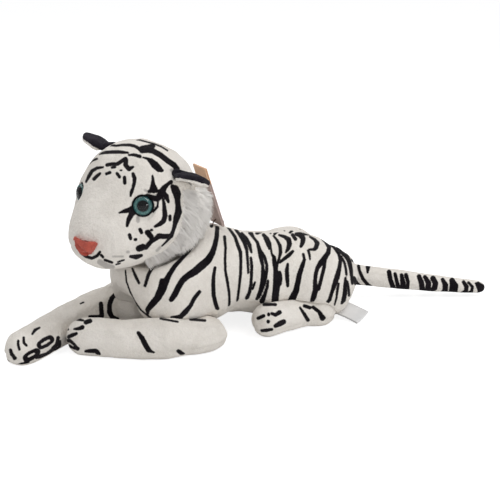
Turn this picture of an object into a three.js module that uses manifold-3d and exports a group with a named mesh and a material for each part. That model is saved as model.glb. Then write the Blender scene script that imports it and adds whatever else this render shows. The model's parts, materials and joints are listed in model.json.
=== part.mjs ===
// A lying plush tiger, taken apart the way a soft-toy maker would: fabric panels over
// stuffing, sewn-on limbs, ears and tail, moulded safety eyes, a care label and a hang tag.
// Millimetres, +Z up. The tiger faces -X, so its left side is -Y. Places are counted back
// from the front of the chest, and the last lines move the origin to the centre of the
// footprint on the floor.

import * as THREE from "three";
import { mergeVertices } from "three/addons/utils/BufferGeometryUtils.js";
import Module from "manifold-3d";

const wasm = await Module();
wasm.setup();

// Driving sizes, in millimetres; names that end in Angle are in degrees

const fabric = { thickness: 2.4, stuffingGap: 0.35, seamGap: 0.5 };
const clearance = 0.35;
const overrun = 90;

const torso = {
  ahead: 9,
  length: 270,
  height: 118,
  halfWidth: 57,
  chestRound: 22,
  rumpRound: 34,
  rumpShift: 14,
  bellySeamHeight: 42,
  sectionPower: 2.1,
};
const torsoShares = [
  // along, top, bottom, half width
  [0.0, 0.74, 0.36, 0.72],
  [0.08, 0.84, 0.32, 0.86],
  [0.17, 0.95, 0.3, 0.94],
  [0.27, 0.98, 0.24, 0.98],
  [0.35, 0.92, 0.15, 1.0],
  [0.44, 0.86, 0.1, 0.98],
  [0.53, 0.79, 0.09, 0.94],
  [0.63, 0.735, 0.09, 0.9],
  [0.74, 0.73, 0.09, 0.92],
  [0.84, 0.68, 0.08, 0.92],
  [0.92, 0.52, 0.08, 0.86],
  [1.0, 0.36, 0.1, 0.74],
];
const haunch = { along: 202, spread: 38, height: 43, halfLength: 47, halfWidth: 33, halfHeight: 36 };
const shoulderPad = { along: 42, spread: 30, height: 64, halfLength: 46, halfWidth: 35, halfHeight: 40 };

const head = {
  along: 13,
  leftShift: 10,
  height: 141,
  turnAngle: 25.5,
  tiltAngle: 1,
  length: 142,
  noseReach: 80,
  halfWidth: 60,
  topRise: 62,
  chinDrop: 54,
  noseRound: 20,
  backRound: 52,
  crownHalfWidth: 25,
  jawSeamDrop: 31,
  jawPanelBack: 6,
  sectionPower: 2.1,
};
const headShares = [
  // along from the nose, top, bottom, half width
  [0.0, -0.12, 0.8, 0.5],
  [0.1, 0.08, 0.94, 0.58],
  [0.2, 0.32, 1.0, 0.68],
  [0.3, 0.63, 1.03, 0.84],
  [0.43, 0.92, 1.02, 0.97],
  [0.6, 1.0, 0.97, 1.0],
  [0.78, 0.95, 0.88, 0.94],
  [1.0, 0.74, 0.68, 0.78],
];

const neck = {
  dishRadius: 71,
  dishDrop: 62,
  dishPower: 2.6,
  ballRadius: 23,
  stemRadius: 12,
  rootRadius: 16,
  rootHeight: 58,
  nodRelief: 10,
};

const eye = {
  diameter: 18.5,
  domeHeight: 5.6,
  backThickness: 1.2,
  shankDiameter: 4.2,
  shankLength: 13,
  washerDiameter: 14,
  washerThickness: 1.6,
  alongShare: 0.264,
  riseAngle: 31,
  inset: 4.2,
  outwardAngle: 40,
  upwardAngle: 4,
  cupWall: 2.4,
};

const nose = { width: 29, height: 16.5, depth: 9, bevel: 3, drop: 27.5, ahead: 75, leanAngle: 22 };
const noseOutlineShares = {
  topCorner: 0.75,
  topBow: 1.1,
  topDip: 0.85,
  sideBow: 0.8,
  sideDrop: 0.1,
  footHalf: 0.22,
  footBow: 1.15,
};

const ruff = { halfThickness: 9, halfBreadth: 15, endRound: 12 };
const ruffPathShares = [
  // back, sideways and up, as shares of the head's half width
  [0.32, 0.86, 0.32],
  [0.4, 0.9, 0.0],
  [0.3, 0.8, -0.36],
  [0.04, 0.62, -0.66],
];

const ear = {
  swingAngle: 20,
  width: 39,
  height: 30,
  leafThickness: 2.4,
  cupRadius: 34,
  beadRadius: 3.1,
  beadLength: 24,
};
const earOutlineShares = {
  foot: 0.62,
  flare: 1.05,
  flareRise: 0.4,
  shoulder: 0.85,
  shoulderRise: 0.92,
  peak: 0.1,
};
const earCupShare = 0.45;
const leftEar = { alongShare: 0.6, riseAngle: 30, spinAngle: 150, tiltAngle: 30 };
const rightEar = { alongShare: 0.58, riseAngle: 53, spinAngle: 156, tiltAngle: 32 };

const foreleg = {
  domeRadius: 37,
  domeHeight: 41,
  floorSink: 9,
  routeLength: 150,
  armHalfWidth: 21,
  armRise: 20,
  armDrop: 24,
  midHeight: 20,
  elbowRound: 15,
  pawRound: 16,
  soleSeamHeight: 9,
  swingAngle: 14,
  bendRoom: 3,
};
const armShares = [
  // along the arm, half width, rise, drop
  [0.0, 0.98, 1.0, 1.0],
  [0.3, 1.0, 1.0, 1.0],
  [0.55, 0.96, 0.96, 0.98],
  [0.74, 0.86, 0.86, 0.93],
  [0.88, 0.88, 0.86, 0.93],
  [1.0, 0.84, 0.8, 0.92],
];
const leftShoulder = { along: 46, side: 56 };
const rightShoulder = { along: 30, side: 54 };
const armRouteShares = {
  // ahead of the shoulder and outwards from it, as shares of the route's length, and the
  // height as a share of the arm's middle height
  left: [[-0.14, 0.07, 1], [0.1, 0.1, 1], [0.34, 0.03, 0.98], [0.56, -0.14, 0.92], [0.73, -0.35, 0.86]],
  right: [[-0.12, 0.04, 1], [0.16, 0.0, 0.96], [0.42, -0.12, 0.84], [0.74, -0.285, 0.74], [1.06, -0.5, 0.7]],
};

const hindFoot = {
  along: 190,
  side: 62,
  domeRadius: 21,
  domeHeight: 31,
  floorSink: 6,
  routeLength: 84,
  halfWidth: 17.5,
  rise: 17,
  drop: 19,
  midHeight: 17,
  heelRound: 12,
  pawRound: 14,
  soleSeamHeight: 8,
  swingAngle: 14,
  bendRoom: 1,
};
const footShares = [
  // along the foot, half width, rise, drop
  [0.0, 0.9, 0.7, 0.94],
  [0.4, 0.88, 0.78, 0.94],
  [0.72, 0.98, 0.96, 0.98],
  [1.0, 1.0, 1.0, 1.0],
];
const footRouteShares = [[-0.12, 0, 1], [0.2, 0.02, 1], [0.55, 0.06, 1], [0.96, 0.12, 1]];

const tail = {
  height: 27,
  standOff: 3.2,
  ballRadius: 12.6,
  mouthRadius: 7.4,
  length: 134,
  baseRadius: 11.6,
  tipRadius: 6.6,
  tipRound: 7,
  leftSwing: 72,
  tipHeight: 10,
};
const tailRouteShares = [
  // along, sideways and of the way down
  [0, 0, 0],
  [0.34, 0.3, 0.4],
  [0.68, 0.65, 0.78],
  [1, 1, 1],
];
const tailTaperShares = [[0, 0], [0.35, 0.1], [0.75, 0.6], [1, 1]];

const careLabel = {
  width: 21,
  length: 36,
  leafThickness: 0.8,
  foldGap: 0.8,
  along: 220.5,
  side: 57,
  height: 12.5,
  liftAngle: 24,
};
const careLabelPose = { turnAngle: -66, droopAngle: 10, rollAngle: 21 };

const hangTag = { width: 26, length: 66, leafThickness: 0.9, foldGap: 0.7, holeRadius: 2.2, holeInset: 6 };
const hangTagPose = { leanAngle: 18 };
const tagLoop = {
  alongShare: 0.42,
  rise: 1.3,
  radius: 6.5,
  wireRadius: 0.7,
  slack: 1,
};

// How finely round things are divided
const facets = {
  body: 16,
  bodySteps: 7,
  headSteps: 6,
  limb: 8,
  limbSteps: 3,
  cap: 3,
  limbCap: 2,
  round: 10,
  small: 6,
  neckBall: 16,
  curve: 3,
  bevel: 2,
};

// Small helpers

const radians = THREE.MathUtils.degToRad;
const outwards = (side) => (side === "left" ? -1 : 1);
const bothSides = ["left", "right"];

function closedSolid(geometry) {
  const bare = geometry.clone();
  bare.deleteAttribute("normal");
  bare.deleteAttribute("uv");
  const merged = mergeVertices(bare, clearance / overrun);
  const corners = new Uint32Array(merged.index.array);
  const build = (triVerts) =>
    new wasm.Manifold(
      new wasm.Mesh({ numProp: 3, vertProperties: merged.attributes.position.array, triVerts }),
    );
  const made = build(corners);
  if (made.volume() >= 0) return made;
  for (let i = 0; i < corners.length; i += 3) {
    [corners[i + 1], corners[i + 2]] = [corners[i + 2], corners[i + 1]];
  }
  return build(corners);
}

function placed(solid, object) {
  object.updateMatrixWorld(true);
  return solid.transform(object.matrixWorld.elements);
}

// The radius of a faceted hollow in which a faceted round turns about its axis, or also
// tumbles; the hollow is set half a facet round from its guest
const hollow = (radius, segments, tumbles = false) =>
  (radius + clearance) / Math.cos(Math.PI / segments) ** (tumbles ? 2 : 1);
const halfFacet = (segments) => 180 / segments;

const at = (solid, x, y, z) => solid.translate([x, y, z]);
const above = (solid, height) => solid.trimByPlane([0, 0, 1], height);
const below = (solid, height) => solid.trimByPlane([0, 0, -1], -height);
const onSide = (solid, side, margin) => solid.trimByPlane([0, outwards(side), 0], margin);

// A group at a position, turned about X, then Y, then Z unless another order is given
function standingGroup(parent, position, angles, order = "ZYX") {
  const group = new THREE.Group();
  group.position.set(...position);
  group.rotation.set(...angles.map(radians), order);
  parent.add(group);
  return group;
}

// A value that runs smoothly down a column of a table whose first column is the share along
function tableValue(rows, column, share) {
  const last = rows.length - 1;
  let i = 0;
  while (i < last - 1 && share > rows[i + 1][0]) i += 1;
  const slope = (k) => {
    const low = rows[Math.max(0, k - 1)];
    const high = rows[Math.min(last, k + 1)];
    return (high[column] - low[column]) / (high[0] - low[0]);
  };
  const span = rows[i + 1][0] - rows[i][0];
  const t = THREE.MathUtils.clamp((share - rows[i][0]) / span, 0, 1);
  const bend = t * t * (3 - 2 * t);
  const leave = t * (1 - t) * (1 - t) * span * slope(i);
  const arrive = t * t * (t - 1) * span * slope(i + 1);
  return rows[i][column] * (1 - bend) + rows[i + 1][column] * bend + leave + arrive;
}

// Distances along a stuffed form, closer together in its two round ends
function stationsAlong(length, startRound, endRound, steps, cap) {
  const found = [];
  for (let i = 1; i <= cap; i += 1) {
    found.push(startRound * (1 - Math.cos((i / cap) * (Math.PI / 2))));
  }
  for (let i = 1; i <= steps; i += 1) {
    found.push(startRound + (i / steps) * (length - startRound - endRound));
  }
  for (let i = 1; i < cap; i += 1) {
    found.push(length - endRound * (1 - Math.sin((i / cap) * (Math.PI / 2))));
  }
  return found;
}

// How far a section has grown at a place along a form with round ends, from 0 to 1
function roundEnd(along, length, startRound, endRound) {
  const start = THREE.MathUtils.clamp(1 - along / startRound, 0, 1);
  const end = THREE.MathUtils.clamp(1 - (length - along) / endRound, 0, 1);
  return Math.sqrt(1 - start * start) * Math.sqrt(1 - end * end);
}

function ovalRing(centre, sideways, upwards, halfWidth, halfHeight, points, power) {
  const ring = [];
  for (let i = 0; i < points; i += 1) {
    const angle = (i / points) * 2 * Math.PI;
    const [c, s] = [Math.cos(angle), Math.sin(angle)];
    const across = Math.sign(c) * Math.abs(c) ** (2 / power) * halfWidth;
    const up = Math.sign(s) * Math.abs(s) ** (2 / power) * halfHeight;
    ring.push(centre.clone().addScaledVector(sideways, across).addScaledVector(upwards, up));
  }
  return ring;
}

// A closed skin over rings of equal point counts, with a pole at each end
function skinOver(rings, startPole, endPole) {
  const count = rings[0].length;
  const corners = [...rings.flat(), startPole, endPole];
  const faces = [];
  for (let r = 0; r < rings.length - 1; r += 1) {
    for (let i = 0; i < count; i += 1) {
      const [a, b] = [r * count + i, r * count + ((i + 1) % count)];
      faces.push(a, b, b + count, a, b + count, a + count);
    }
  }
  const start = corners.length - 2;
  const lastRing = (rings.length - 1) * count;
  for (let i = 0; i < count; i += 1) {
    const j = (i + 1) % count;
    faces.push(start, j, i, start + 1, lastRing + i, lastRing + j);
  }
  const geometry = new THREE.BufferGeometry().setFromPoints(corners);
  geometry.setIndex(faces);
  return closedSolid(geometry);
}

// A stuffed form along X. The profile gives top, bottom and half width at a share of the
// length, and the inset shrinks the form all over.
function stuffedForm(length, startRound, endRound, profile, steps, power, inset) {
  const inner = length - 2 * inset;
  const starting = startRound - inset;
  const ending = endRound - inset;
  const sideways = new THREE.Vector3(0, 1, 0);
  const upwards = new THREE.Vector3(0, 0, 1);
  const section = (along) => {
    const { top, bottom, halfWidth } = profile((along + inset) / length);
    const halfHeight = (top - bottom) / 2 - inset;
    const centre = new THREE.Vector3(along + inset, 0, (top + bottom) / 2);
    return { centre, halfHeight, halfWidth: halfWidth - inset };
  };
  const rings = stationsAlong(inner, starting, ending, steps, facets.cap).map((along) => {
    const { centre, halfHeight, halfWidth } = section(along);
    const grown = roundEnd(along, inner, starting, ending);
    return ovalRing(centre, sideways, upwards, halfWidth * grown, halfHeight * grown, facets.body, power);
  });
  return skinOver(rings, section(0).centre, section(inner).centre);
}

// A point on a curve, or on its straight run beyond either end
function pointAlong(path, share) {
  const held = THREE.MathUtils.clamp(share, 0, 1);
  const beyond = (share - held) * path.getLength();
  return path.getPointAt(held).addScaledVector(path.getTangentAt(held), beyond);
}

// A stuffed tube along a curve, whose rings stand square to the curve's run over the floor
function stuffedTube(path, profile, startRound, endRound, inset) {
  const full = path.getLength();
  const length = full - 2 * inset;
  const starting = startRound - inset;
  const ending = endRound - inset;
  const upwards = new THREE.Vector3(0, 0, 1);
  const rings = stationsAlong(length, starting, ending, facets.limbSteps, facets.limbCap).map((along) => {
    const share = (along + inset) / full;
    const ahead = path.getTangentAt(THREE.MathUtils.clamp(share, 0, 1)).setZ(0).normalize();
    const sideways = new THREE.Vector3(-ahead.y, ahead.x, 0);
    const { halfWidth, rise, drop } = profile(share);
    const grown = roundEnd(along, length, starting, ending);
    const centre = pointAlong(path, share).addScaledVector(upwards, ((rise - drop) / 2) * grown);
    const halfHeight = ((rise + drop) / 2 - inset) * grown;
    return ovalRing(centre, sideways, upwards, (halfWidth - inset) * grown, halfHeight, facets.limb, 2);
  });
  return skinOver(rings, pointAlong(path, inset / full), pointAlong(path, 1 - inset / full));
}

// The steps of a quarter turn that suit a round of so many facets
const quarterOf = (segments) => Math.round(segments / 4);

function ball(radius, segments = facets.round) {
  const sphere = new THREE.SphereGeometry(radius, segments, 2 * quarterOf(segments));
  sphere.rotateX(Math.PI / 2);
  return closedSolid(sphere);
}

function egg(halfLength, halfWidth, halfHeight, segments = facets.round) {
  return ball(1, segments).scale([halfLength, halfWidth, halfHeight]);
}

// A turned solid about +Z from [radius, height] pairs that start and end on the axis
function turned(profile, segments = facets.round) {
  const points = profile.map(([radius, height]) => new THREE.Vector2(radius, height));
  const lathe = new THREE.LatheGeometry(points, segments);
  lathe.rotateX(Math.PI / 2);
  return closedSolid(lathe);
}

function rod(radius, low, high, segments = facets.round) {
  return turned([[0, low], [radius, low], [radius, high], [0, high]], segments);
}

// A quarter outline that bulges up from its widest radius to the axis
function bulge(radius, height, base, power, steps) {
  const outline = [];
  for (let i = 0; i < steps; i += 1) {
    const angle = (i / steps) * (Math.PI / 2);
    const out = Math.cos(angle) ** (2 / power);
    const up = Math.sin(angle) ** (2 / power);
    outline.push([radius * out, base + height * up]);
  }
  outline.push([0, base + height]);
  return outline;
}

function block(low, high) {
  const size = high.map((value, k) => value - low[k]);
  const middle = high.map((value, k) => (value + low[k]) / 2);
  return closedSolid(new THREE.BoxGeometry(...size)).translate(middle);
}

// The largest body of a cut piece: the crumbs beside it are not part of it
function largest(solid) {
  return solid.decompose().sort((a, b) => b.volume() - a.volume())[0];
}

// The pieces and what they are made of

const tiger = new THREE.Group();
const finishes = {
  whitePlush: { color: 0xefece8, roughness: 0.95, metalness: 0 },
  blackPlush: { color: 0x17161b, roughness: 0.95, metalness: 0 },
  longPile: { color: 0xf6f4f1, roughness: 1, metalness: 0 },
  stuffing: { color: 0xffffff, roughness: 1, metalness: 0 },
  nosePink: { color: 0xd9705a, roughness: 0.7, metalness: 0 },
  clearPlastic: { color: 0xe8f4f4, roughness: 0.05, metalness: 0 },
  irisTeal: { color: 0x4f8a8b, roughness: 0.3, metalness: 0 },
  whitePlastic: { color: 0xe9e9e6, roughness: 0.4, metalness: 0 },
  satin: { color: 0xf3f1ee, roughness: 0.5, metalness: 0 },
  card: { color: 0xe9b493, roughness: 0.6, metalness: 0 },
  brownNylon: { color: 0x5a3a33, roughness: 0.5, metalness: 0 },
};

function addPiece(name, solid, finish, parent = tiger) {
  const { vertProperties, triVerts, numProp } = largest(solid).getMesh();
  const geometry = new THREE.BufferGeometry();
  geometry.setAttribute("position", new THREE.BufferAttribute(vertProperties, numProp));
  geometry.setIndex(new THREE.BufferAttribute(triVerts, 1));
  geometry.computeVertexNormals();
  const piece = new THREE.Mesh(geometry, new THREE.MeshStandardMaterial(finishes[finish]));
  piece.name = name;
  parent.add(piece);
}

// Limbs: a dome that the body sits on, and an arm or foot that runs ahead of it

// The route over the floor that a limb's middle takes from its dome
function limbRoute(pivot, side, routeShares, routeLength, height) {
  const out = outwards(side);
  const points = routeShares.map(
    ([ahead, outShare, heightShare]) =>
      new THREE.Vector3(
        pivot.along - ahead * routeLength,
        out * (pivot.side + outShare * routeLength),
        height * heightShare,
      ),
  );
  return new THREE.CatmullRomCurve3(points);
}

function limbDome(limb, pivot, side, inset) {
  const radius = limb.domeRadius - inset;
  const halfHeight = (limb.domeHeight + limb.floorSink) / 2 - inset;
  const middle = (limb.domeHeight - limb.floorSink) / 2;
  return at(egg(radius, radius, halfHeight), pivot.along, outwards(side) * pivot.side, middle);
}

// The room that a dome turns in: its upper half, and straight down from its widest part
function domePocket(limb, pivot, side) {
  const middle = (limb.domeHeight - limb.floorSink) / 2;
  const radius = hollow(limb.domeRadius, facets.round);
  const height = (limb.domeHeight + limb.floorSink) / 2 + clearance;
  const dome = bulge(radius, height, middle, 2, quarterOf(facets.round));
  const room = turned([[0, -overrun], [radius, -overrun], ...dome]).rotate([0, 0, halfFacet(facets.round)]);
  return at(room, pivot.along, outwards(side) * pivot.side, 0);
}

function forelegForm(pivot, side, inset) {
  const route = limbRoute(pivot, side, armRouteShares[side], foreleg.routeLength, foreleg.midHeight);
  const profile = (share) => ({
    halfWidth: tableValue(armShares, 1, share) * foreleg.armHalfWidth,
    rise: tableValue(armShares, 2, share) * foreleg.armRise,
    drop: tableValue(armShares, 3, share) * foreleg.armDrop,
  });
  const arm = stuffedTube(route, profile, foreleg.elbowRound, foreleg.pawRound, inset);
  return above(limbDome(foreleg, pivot, side, inset).add(arm), inset);
}

function hindFootForm(side, inset) {
  const route = limbRoute(hindFoot, side, footRouteShares, hindFoot.routeLength, hindFoot.midHeight);
  const profile = (share) => ({
    halfWidth: tableValue(footShares, 1, share) * hindFoot.halfWidth,
    rise: tableValue(footShares, 2, share) * hindFoot.rise,
    drop: tableValue(footShares, 3, share) * hindFoot.drop,
  });
  const foot = stuffedTube(route, profile, hindFoot.heelRound, hindFoot.pawRound, inset);
  return above(limbDome(hindFoot, hindFoot, side, inset).add(foot), inset);
}

// Two panels over one core: an upper, and a sole below the seam
function addLimb(name, side, form, seamHeight) {
  const skin = form(0).subtract(form(fabric.thickness));
  const halfSeam = fabric.seamGap / 2;
  addPiece(`${name}_upper_${side}`, above(skin, seamHeight + halfSeam), "whitePlush");
  addPiece(`${name}_sole_${side}`, below(skin, seamHeight - halfSeam), "whitePlush");
  addPiece(`${name}_stuffing_${side}`, form(fabric.thickness + fabric.stuffingGap), "stuffing");
}

const shoulders = { left: leftShoulder, right: rightShoulder };
for (const side of bothSides) {
  const arm = (inset) => forelegForm(shoulders[side], side, inset);
  const foot = (inset) => hindFootForm(side, inset);
  addLimb("foreleg", side, arm, foreleg.soleSeamHeight);
  addLimb("hind_foot", side, foot, hindFoot.soleSeamHeight);
}

// Torso: two side panels and a belly panel over one core, cut to clear what moves in it

// The hindquarters lie a little to the left, so the whole torso is turned about the chest.
const torsoLean = THREE.MathUtils.radToDeg(Math.atan2(torso.rumpShift, torso.length));

function torsoForm(inset) {
  const profile = (share) => ({
    top: tableValue(torsoShares, 1, share) * torso.height,
    bottom: tableValue(torsoShares, 2, share) * torso.height,
    halfWidth: tableValue(torsoShares, 3, share) * torso.halfWidth,
  });
  const { length, chestRound, rumpRound, sectionPower } = torso;
  const barrel = stuffedForm(length, chestRound, rumpRound, profile, facets.bodySteps, sectionPower, inset);
  let form = at(barrel, -torso.ahead, 0, 0);
  for (const side of bothSides) {
    for (const bulk of [haunch, shoulderPad]) {
      const swell = egg(bulk.halfLength - inset, bulk.halfWidth - inset, bulk.halfHeight - inset);
      form = form.add(at(swell, bulk.along, outwards(side) * bulk.spread, bulk.height));
    }
  }
  return form.rotate([0, 0, -torsoLean]);
}

// The space over the floor that a limb sweeps as it swings outwards, up to its highest point
function limbSweep(pivot, side, routeShares, limb, halfWidth, top) {
  const reach = limb.routeLength + limb.pawRound;
  const wide = halfWidth + limb.bendRoom + clearance;
  const run = block([-reach, -wide, -overrun], [0, wide, top + clearance]);
  const [aheadShare, outShare] = routeShares[2];
  const restAngle = THREE.MathUtils.radToDeg(Math.atan2(outShare, aheadShare));
  const sweeps = [0, limb.swingAngle / 2, limb.swingAngle].map((swing) =>
    run.rotate([0, 0, -outwards(side) * (restAngle + swing)]),
  );
  return at(wasm.Manifold.union(sweeps), pivot.along, outwards(side) * pivot.side, 0);
}

// A ribbon or card folded back on itself, with the fold at its far end along X
function foldedStrip(width, length, leaf, gap) {
  const half = leaf + gap / 2;
  const shape = new THREE.Shape();
  shape.moveTo(0, half);
  shape.lineTo(length - half, half);
  shape.absarc(length - half, 0, half, Math.PI / 2, -Math.PI / 2, true);
  shape.lineTo(0, -half);
  shape.lineTo(0, -gap / 2);
  shape.lineTo(length - half, -gap / 2);
  shape.absarc(length - half, 0, gap / 2, -Math.PI / 2, Math.PI / 2, false);
  shape.lineTo(0, gap / 2);
  shape.closePath();
  const strip = new THREE.ExtrudeGeometry(shape, { depth: width, bevelEnabled: false, curveSegments: facets.curve });
  strip.translate(0, 0, -width / 2);
  strip.rotateX(Math.PI / 2);
  return closedSolid(strip);
}

// Care label: a folded ribbon whose root is gripped by a slot in the haunch's lower seam

const labelGroup = standingGroup(
  tiger,
  [careLabel.along, outwards("left") * careLabel.side, careLabel.height],
  [careLabelPose.rollAngle, careLabelPose.droopAngle, careLabelPose.turnAngle],
);

function labelRibbon() {
  return foldedStrip(careLabel.width, careLabel.length, careLabel.leafThickness, careLabel.foldGap);
}

function labelSlot() {
  const halfWidth = careLabel.width / 2 + clearance;
  const halfThick = careLabel.leafThickness + careLabel.foldGap / 2 + clearance;
  const slot = block([-clearance, -halfWidth, -halfThick], [careLabel.length, halfWidth, halfThick]);
  const lifts = [0, careLabel.liftAngle / 2, careLabel.liftAngle].map((angle) => slot.rotate([0, -angle, 0]));
  return placed(wasm.Manifold.union(lifts), labelGroup);
}

// Hang tag: a folded card on a nylon loop that is sewn in at the nape

// A place over the ridge of the back
function overRidge(share, rise) {
  const top = tableValue(torsoShares, 1, share) * torso.height;
  const place = new THREE.Vector3(share * torso.length - torso.ahead, 0, top + rise);
  return place.applyAxisAngle(new THREE.Vector3(0, 0, 1), -radians(torsoLean)).toArray();
}

const loopPlace = overRidge(tagLoop.alongShare, tagLoop.rise);
const tagGroup = standingGroup(tiger, loopPlace, [0, -90 - hangTagPose.leanAngle, 0]);
tagGroup.translateX(tagLoop.radius + tagLoop.slack - hangTag.holeInset);

function tagRing(wireRadius) {
  const ring = new THREE.TorusGeometry(tagLoop.radius, wireRadius, facets.small, facets.body);
  ring.rotateX(Math.PI / 2);
  return closedSolid(ring).translate(loopPlace);
}

function tagCard() {
  const hole = at(rod(hangTag.holeRadius, -overrun, overrun, facets.small), hangTag.holeInset, 0, 0);
  return foldedStrip(hangTag.width, hangTag.length, hangTag.leafThickness, hangTag.foldGap).subtract(hole);
}

const neckPlace = [head.along, -head.leftShift, 0];

// The hollow between the shoulders in which the head turns
function neckDish() {
  const { dishRadius, dishDrop, dishPower } = neck;
  const bowl = bulge(dishRadius, -dishDrop, 0, dishPower, facets.cap + 1).reverse();
  const dish = turned([...bowl, [dishRadius, overrun], [0, overrun]], facets.body);
  return at(dish, head.along, -head.leftShift, head.height);
}

// The stuffed plug that carries the head: a root in the chest, a stem, and a ball in the skull
function neckPlug(rootRadius, stemRadius, ballRadius) {
  return at(ball(rootRadius), 0, 0, neck.rootHeight)
    .add(rod(stemRadius, neck.rootHeight, head.height))
    .add(at(ball(ballRadius, facets.neckBall), 0, 0, head.height));
}

const neckRoom = () =>
  neckPlug(
    hollow(neck.rootRadius, facets.round),
    hollow(neck.stemRadius, facets.round),
    hollow(neck.ballRadius, facets.neckBall),
  )
    .rotate([0, 0, halfFacet(facets.round)])
    .translate(neckPlace);

const rumpEnd = torso.length - torso.ahead;
const tailPivot = [rumpEnd + tail.standOff, outwards("left") * torso.rumpShift, tail.height];

function tailRoom() {
  const room = ball(hollow(tail.ballRadius, facets.round)).rotate([0, 0, halfFacet(facets.round)]);
  return room.translate(tailPivot);
}

function torsoClearings() {
  const cutters = [
    neckDish(),
    neckRoom(),
    tagRing(tagLoop.wireRadius + clearance),
    labelSlot(),
    tailRoom(),
  ];
  for (const side of bothSides) {
    const armTop = foreleg.midHeight + foreleg.armRise;
    const footTop = hindFoot.midHeight + hindFoot.rise;
    const armRoute = armRouteShares[side];
    cutters.push(domePocket(foreleg, shoulders[side], side));
    cutters.push(limbSweep(shoulders[side], side, armRoute, foreleg, foreleg.armHalfWidth, armTop));
    cutters.push(domePocket(hindFoot, hindFoot, side));
    cutters.push(limbSweep(hindFoot, side, footRouteShares, hindFoot, hindFoot.halfWidth, footTop));
  }
  return wasm.Manifold.union(cutters);
}

function addTorso() {
  const clearings = torsoClearings();
  const skin = torsoForm(0).subtract(torsoForm(fabric.thickness)).subtract(clearings);
  const halfSeam = fabric.seamGap / 2;
  const flanks = above(skin, torso.bellySeamHeight + halfSeam);
  const unturned = flanks.rotate([0, 0, torsoLean]);
  for (const side of bothSides) {
    const panel = onSide(unturned, side, halfSeam).rotate([0, 0, -torsoLean]);
    addPiece(`torso_panel_${side}`, panel, "whitePlush");
  }
  addPiece("belly_panel", below(skin, torso.bellySeamHeight - halfSeam), "whitePlush");
  const core = torsoForm(fabric.thickness + fabric.stuffingGap);
  addPiece("torso_stuffing", core.subtract(clearings), "stuffing");
  const plug = neckPlug(neck.rootRadius, neck.stemRadius, neck.ballRadius);
  addPiece("neck_stuffing", plug.translate(neckPlace), "stuffing");
}
addTorso();

// Tail: a tapered sleeve over stuffing, whose round end lies in a hollow of the rump

function tailForm(inset) {
  const [x, y, z] = tailPivot;
  const points = tailRouteShares.map(
    ([along, aside, down]) =>
      new THREE.Vector3(
        x + along * tail.length,
        y + outwards("left") * aside * tail.leftSwing,
        z - down * (z - tail.tipHeight),
      ),
  );
  const profile = (share) => {
    const narrowing = tail.baseRadius - tail.tipRadius;
    const radius = tail.baseRadius - tableValue(tailTaperShares, 1, share) * narrowing;
    return { halfWidth: radius, rise: radius, drop: radius };
  };
  const route = new THREE.CatmullRomCurve3(points);
  const sleeve = stuffedTube(route, profile, tail.tipRound, tail.tipRound, inset);
  return sleeve.add(ball(tail.ballRadius - inset).translate(tailPivot));
}

function addTail() {
  const mouth = rod(tail.mouthRadius, -overrun, 0, facets.small).rotate([0, 90, 0]).translate(tailPivot);
  const skin = tailForm(0).subtract(tailForm(fabric.thickness));
  const core = tailForm(fabric.thickness + fabric.stuffingGap);
  addPiece("tail_skin", skin.subtract(mouth), "whitePlush");
  addPiece("tail_stuffing", core, "stuffing");
}
addTail();

// Head, built about its own middle and turned a little to the tiger's left

const headGroup = standingGroup(
  tiger,
  [head.along, -head.leftShift, head.height],
  [head.tiltAngle, 0, head.turnAngle],
);

const headProfile = (share) => ({
  top: tableValue(headShares, 1, share) * head.topRise,
  bottom: -tableValue(headShares, 2, share) * head.chinDrop,
  halfWidth: tableValue(headShares, 3, share) * head.halfWidth,
});

function headForm(inset) {
  const { length, noseRound, backRound, sectionPower } = head;
  const form = stuffedForm(length, noseRound, backRound, headProfile, facets.headSteps, sectionPower, inset);
  return at(form, -head.noseReach, 0, 0);
}

// A point of the head's surface, from its share along and its angle above the widest line
function headPoint(side, share, angle) {
  const { top, bottom, halfWidth } = headProfile(share);
  const up = Math.sign(angle) * Math.abs(Math.sin(angle)) ** (2 / head.sectionPower);
  const across = Math.cos(angle) ** (2 / head.sectionPower);
  return new THREE.Vector3(
    share * head.length - head.noseReach,
    outwards(side) * across * halfWidth,
    (top + bottom) / 2 + (up * (top - bottom)) / 2,
  );
}

const headRoom = headForm(-clearance);

// Eyes: a clear dome over a painted back with its shank, and a washer behind the fabric.
// They are built about +Z, and the fabric is pressed into a cup under each.

const eyeRadius = eye.diameter / 2;
const shankRadius = eye.shankDiameter / 2;
const cupFloor = -eye.backThickness - clearance;
const cupUnder = cupFloor - fabric.thickness;
const washerTop = cupUnder - clearance;
const washerUnder = washerTop - eye.washerThickness;

// The eye's place: on the face, sunk by the inset along its own axis
function eyePlace(side) {
  const seat = headPoint(side, eye.alongShare, radians(eye.riseAngle));
  const angles = [0, eye.upwardAngle - 90, -outwards(side) * eye.outwardAngle];
  const place = standingGroup(new THREE.Group(), seat.toArray(), angles);
  return place.translateZ(-eye.inset);
}

function eyeParts() {
  const shankHole = rod(shankRadius + clearance, -overrun, overrun, facets.small);
  const shank = rod(shankRadius, -eye.shankLength, -eye.backThickness / 2, facets.small);
  const seat = rod(eyeRadius + clearance, cupFloor, overrun);
  return {
    lens: turned([[0, clearance], ...bulge(eyeRadius, eye.domeHeight, clearance, 2, facets.cap + 1)]),
    back: rod(eyeRadius, -eye.backThickness, 0).add(shank),
    washer: rod(eye.washerDiameter / 2, washerUnder, washerTop).subtract(shankHole),
    cup: rod(eyeRadius + clearance + eye.cupWall, cupUnder, overrun).subtract(seat).subtract(shankHole),
    seat: seat.add(shankHole),
    room: rod(eyeRadius + clearance + eye.cupWall + clearance, washerTop, overrun)
      .add(rod(eye.washerDiameter / 2 + clearance, washerUnder - clearance, 0))
      .add(rod(shankRadius + clearance, -eye.shankLength - clearance, 0, facets.small)),
  };
}
const eyeBits = eyeParts();

// Ears: two cupped leaves on a rolled seam that lies in a groove of the head

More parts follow.
